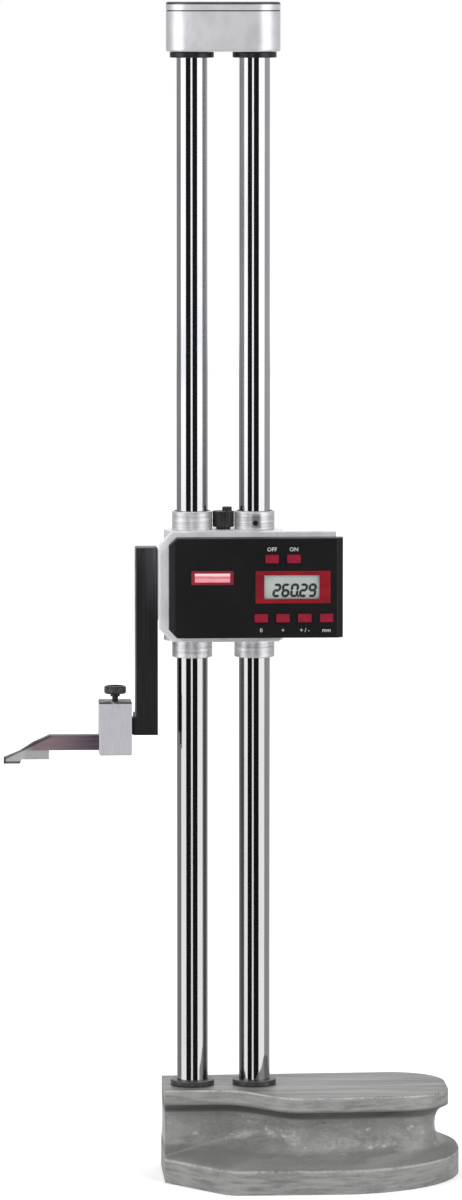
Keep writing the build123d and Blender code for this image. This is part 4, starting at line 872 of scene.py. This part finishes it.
def plate_enamel():
    f = Finish("nameplate_red")
    x, z = f.along("X"), f.along("Z")
    shine, stripe = PLATE_HIGH - 1.9, PLATE_HIGH - 4.4    # their upper edges
    middle = f.band(x, PLATE_LEFT + 2.6, PLATE_RIGHT - 2.7, 0.4) * f.band(z, PLATE_LOW + 2, shine, 0.4)
    brush = f.grain(0.4, (30, 1, 1), detail=2.0)
    colour = f.mixed(middle, tone(132, 18, 40), tone(236, 142, 156))
    colour = f.mixed(f.rise(brush, 0.35, 0.8) * middle * 0.5, colour, tone(252, 206, 212))
    colour = f.mixed(f.band(z, shine - 1.1, shine, 0.3) * middle * 0.7, colour, tone(255, 236, 238))
    colour = f.mixed(f.band(z, stripe - 0.6, stripe, 0.3) * middle * 0.6, colour, tone(186, 52, 76))
    return f.done(colour, 0.28 + 0.1 * brush, 0.0, f.bumps(brush, 0.004))


plate = rounded_plate("nameplate", (PLATE_LEFT * MM, PLATE_RIGHT * MM), (PLATE_LOW * MM, PLATE_HIGH * MM),
                      (case_front - 0.35 * MM, case_front + 0.1 * MM), 0.6 * MM, plate_enamel(), 0.12 * MM)
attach(plate, "carriage")

# %% [markdown]
# ## The key legends
# The keys have short printed legends, of the kind any instrument has. Printing
# has almost no thickness, so each legend is a very thin solid that stands just
# clear of the plastic. A text curve gives the letters, and its points are then
# turned to face the front.

# %% Key legends
def print_ink():
    f = Finish("legend_white")
    patch = f.grain(0.5, detail=2.0)
    colour = f.mixed(f.rise(patch, 0.4, 0.7), tone(226, 230, 227), tone(196, 202, 198))
    return f.done(colour, 0.55 + 0.1 * patch)


legend_white = print_ink()


def legend(name, words, x, z, tall):
    """Flat words, centred at x, z on the case front."""
    letters = bpy.data.curves.new(name, "FONT")
    letters.body, letters.size, letters.extrude = words, tall, 0.02 * MM
    letters.align_x, letters.align_y = "CENTER", "CENTER"
    letters.resolution_u = 2
    carrier = bpy.data.objects.new(name + "_curve", letters)
    bpy.context.scene.collection.objects.link(carrier)
    mesh = bpy.data.meshes.new_from_object(carrier.evaluated_get(bpy.context.evaluated_depsgraph_get()))
    bpy.data.objects.remove(carrier)
    for corner in mesh.vertices:
        across, up, out = corner.co
        corner.co = (x + across, case_front - 0.02 * MM - out, z + up)
    mesh.materials.clear()
    mesh.materials.append(legend_white)
    piece = placed(name, mesh)
    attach(piece, "carriage")


TOP_ROW, LOW_ROW = 451.6, 394.6    # millimetres above the sole
for words, name, x, z in (("OFF", "legend_off", 32.6, TOP_ROW), ("ON", "legend_on", 48.0, TOP_ROW),
                          ("0", "legend_zero", 25.0, LOW_ROW), ("+", "legend_plus", 40.3, LOW_ROW),
                          ("+ / -", "legend_sign", 55.6, LOW_ROW), ("mm", "legend_mm", 70.9, LOW_ROW)):
    legend(name, words, x * MM, z * MM, 4.0 * MM)

# %% [markdown]
# ## The floor
# The floor is plain and nearly white, and keeps the shadow under the foot. To
# the camera it also glows a little, and more so away from the foot, so that it
# meets the white background without a line. Mirrors and lamps don't see that
# glow.

# %% Floor
def floor_white():
    f = Finish("floor_white")
    shade = f.node("ShaderNodeBsdfDiffuse", values={"Color": (0.93, 0.93, 0.93, 1)})
    seen = f.node("ShaderNodeLightPath", out="Is Camera Ray")
    away = f.node("ShaderNodeVectorMath", {"operation": "LENGTH"}, {0: f.place}, out="Value")
    level = seen * (0.3 + 0.4 * f.rise(away, 0.35, 1.0))
    glow = f.node("ShaderNodeEmission", values={"Color": (1, 1, 1, 1), "Strength": level})
    both = f.node("ShaderNodeAddShader", values={0: shade, 1: glow})
    f.node("ShaderNodeOutputMaterial", values={"Surface": both})
    return f.material


REACH, DROP = 9.0, -0.2 * MM
ground = bpy.data.meshes.new("floor")
signs = ((-1, -1), (1, -1), (1, 1), (-1, 1))
ground.from_pydata([(x * REACH, y * REACH, DROP) for x, y in signs], [], [(0, 1, 2, 3)])
ground.materials.append(floor_white())
floor = placed("floor", ground)
floor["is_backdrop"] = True

# %% [markdown]
# ## Screens for the chrome
# Chrome shows its surroundings, so the studio has screens that only mirrors can
# see: tall white boxes to the left and right, black cloth between them with one
# thin white strip, and grey walls to the sides. They light nothing, so the
# paints keep their colours. Each screen is given by where it begins and ends
# round the instrument, in degrees from the camera, and by its brightness.

# %% Screens
SCREENS = [("screen_left_white", -88, -49, 1.7), ("screen_left_black", -48, -13.5, 0.015),
           ("screen_strip", -13, -1.5, 1.5), ("screen_right_black", -1, 35.5, 0.015),
           ("screen_right_white", 36, 79, 1.7), ("screen_right_grey", 80, 146, 0.5),
           ("screen_left_grey", -146, -89, 0.34)]


def screen(name, start, end, level, away=0.3, top=1.7):
    """A curved upright screen, seen only in reflections."""
    mesh = bpy.data.meshes.new(name)
    steps = max(2, int((end - start) / 4))
    points = []
    for i in range(steps + 1):
        x, y, _ = toward(AZIMUTH + start + (end - start) * i / steps, 0)
        points += [(x * away, y * away, 0.001), (x * away, y * away, top)]
    mesh.from_pydata(points, [], [(2 * i, 2 * i + 2, 2 * i + 3, 2 * i + 1) for i in range(steps)])
    f = Finish(name)
    light = f.node("ShaderNodeEmission", values={"Color": (1, 1, 1, 1), "Strength": level})
    f.node("ShaderNodeOutputMaterial", values={"Surface": light})
    mesh.materials.append(f.material)
    piece = placed(name, mesh)
    piece.visible_camera = piece.visible_diffuse = piece.visible_shadow = False
    piece.visible_transmission = piece.visible_volume_scatter = False
    piece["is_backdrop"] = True


for name, start, end, level in SCREENS:
    screen(name, start, end, level)

# %% [markdown]
# ## Lamps and air
# Two large soft lamps stand high to the left and right, and a third behind lifts
# the edges. Blender measures a lamp in watts of light, so the numbers stay low
# for an instrument under a metre tall. The air is white for the camera and for
# mirrors, and dimmer as a light, which keeps the shadow under the foot.

# %% Lamps and air
def softbox(name, azimuth, elevation, distance, size, watts, target=(0.03, 0, 0.4)):
    """A soft lamp, unseen by the camera."""
    lamp = bpy.data.lights.new(name, "AREA")
    lamp.shape, lamp.size, lamp.size_y, lamp.energy = "RECTANGLE", size[0], size[1], watts
    thing = aimed(bpy.data.objects.new(name, lamp), target, azimuth, elevation, distance)
    thing.visible_camera = False


softbox("lamp_left", -50, 35, 2.6, (1.0, 1.6), 30.0)
softbox("lamp_right", 42, 38, 2.6, (1.0, 1.6), 24.0)
softbox("lamp_back", 170, 45, 2.8, (2.0, 1.5), 20.0)

world = bpy.data.worlds.new("studio")
bpy.context.scene.world = world
world.use_nodes = True
air = Bench(world.node_tree)
air.tree.nodes.clear()
path = air.node("ShaderNodeLightPath").socket.node
straight, mirrored, through = [Wire(air, path.outputs["Is %s Ray" % kind])
                               for kind in ("Camera", "Glossy", "Transmission")]
soft = air.node("ShaderNodeBackground", values={"Color": (1, 1, 1, 1), "Strength": 0.42})
white = air.node("ShaderNodeBackground", values={"Color": (1, 1, 1, 1), "Strength": 1.0})
shown = air.node("ShaderNodeMath", {"operation": "MINIMUM"}, {0: straight + mirrored + through, 1: 1.0})
sky = air.node("ShaderNodeMixShader", values={0: shown, 1: soft, 2: white})
air.node("ShaderNodeOutputWorld", values={"Surface": sky})
bpy.context.scene.view_settings.view_transform = "Standard"
print("three lamps, and air of strength 0.42 as a light")

# %% [markdown]
# ## Closing
# The size of the dressed instrument is written beside the size it came in
# with.

# %% Sizes and finish
dressed_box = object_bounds()
for title, box in (("cad", cad_box), ("dressed", dressed_box)):
    print(title, [[round(side, 4) for side in corner] for corner in box])
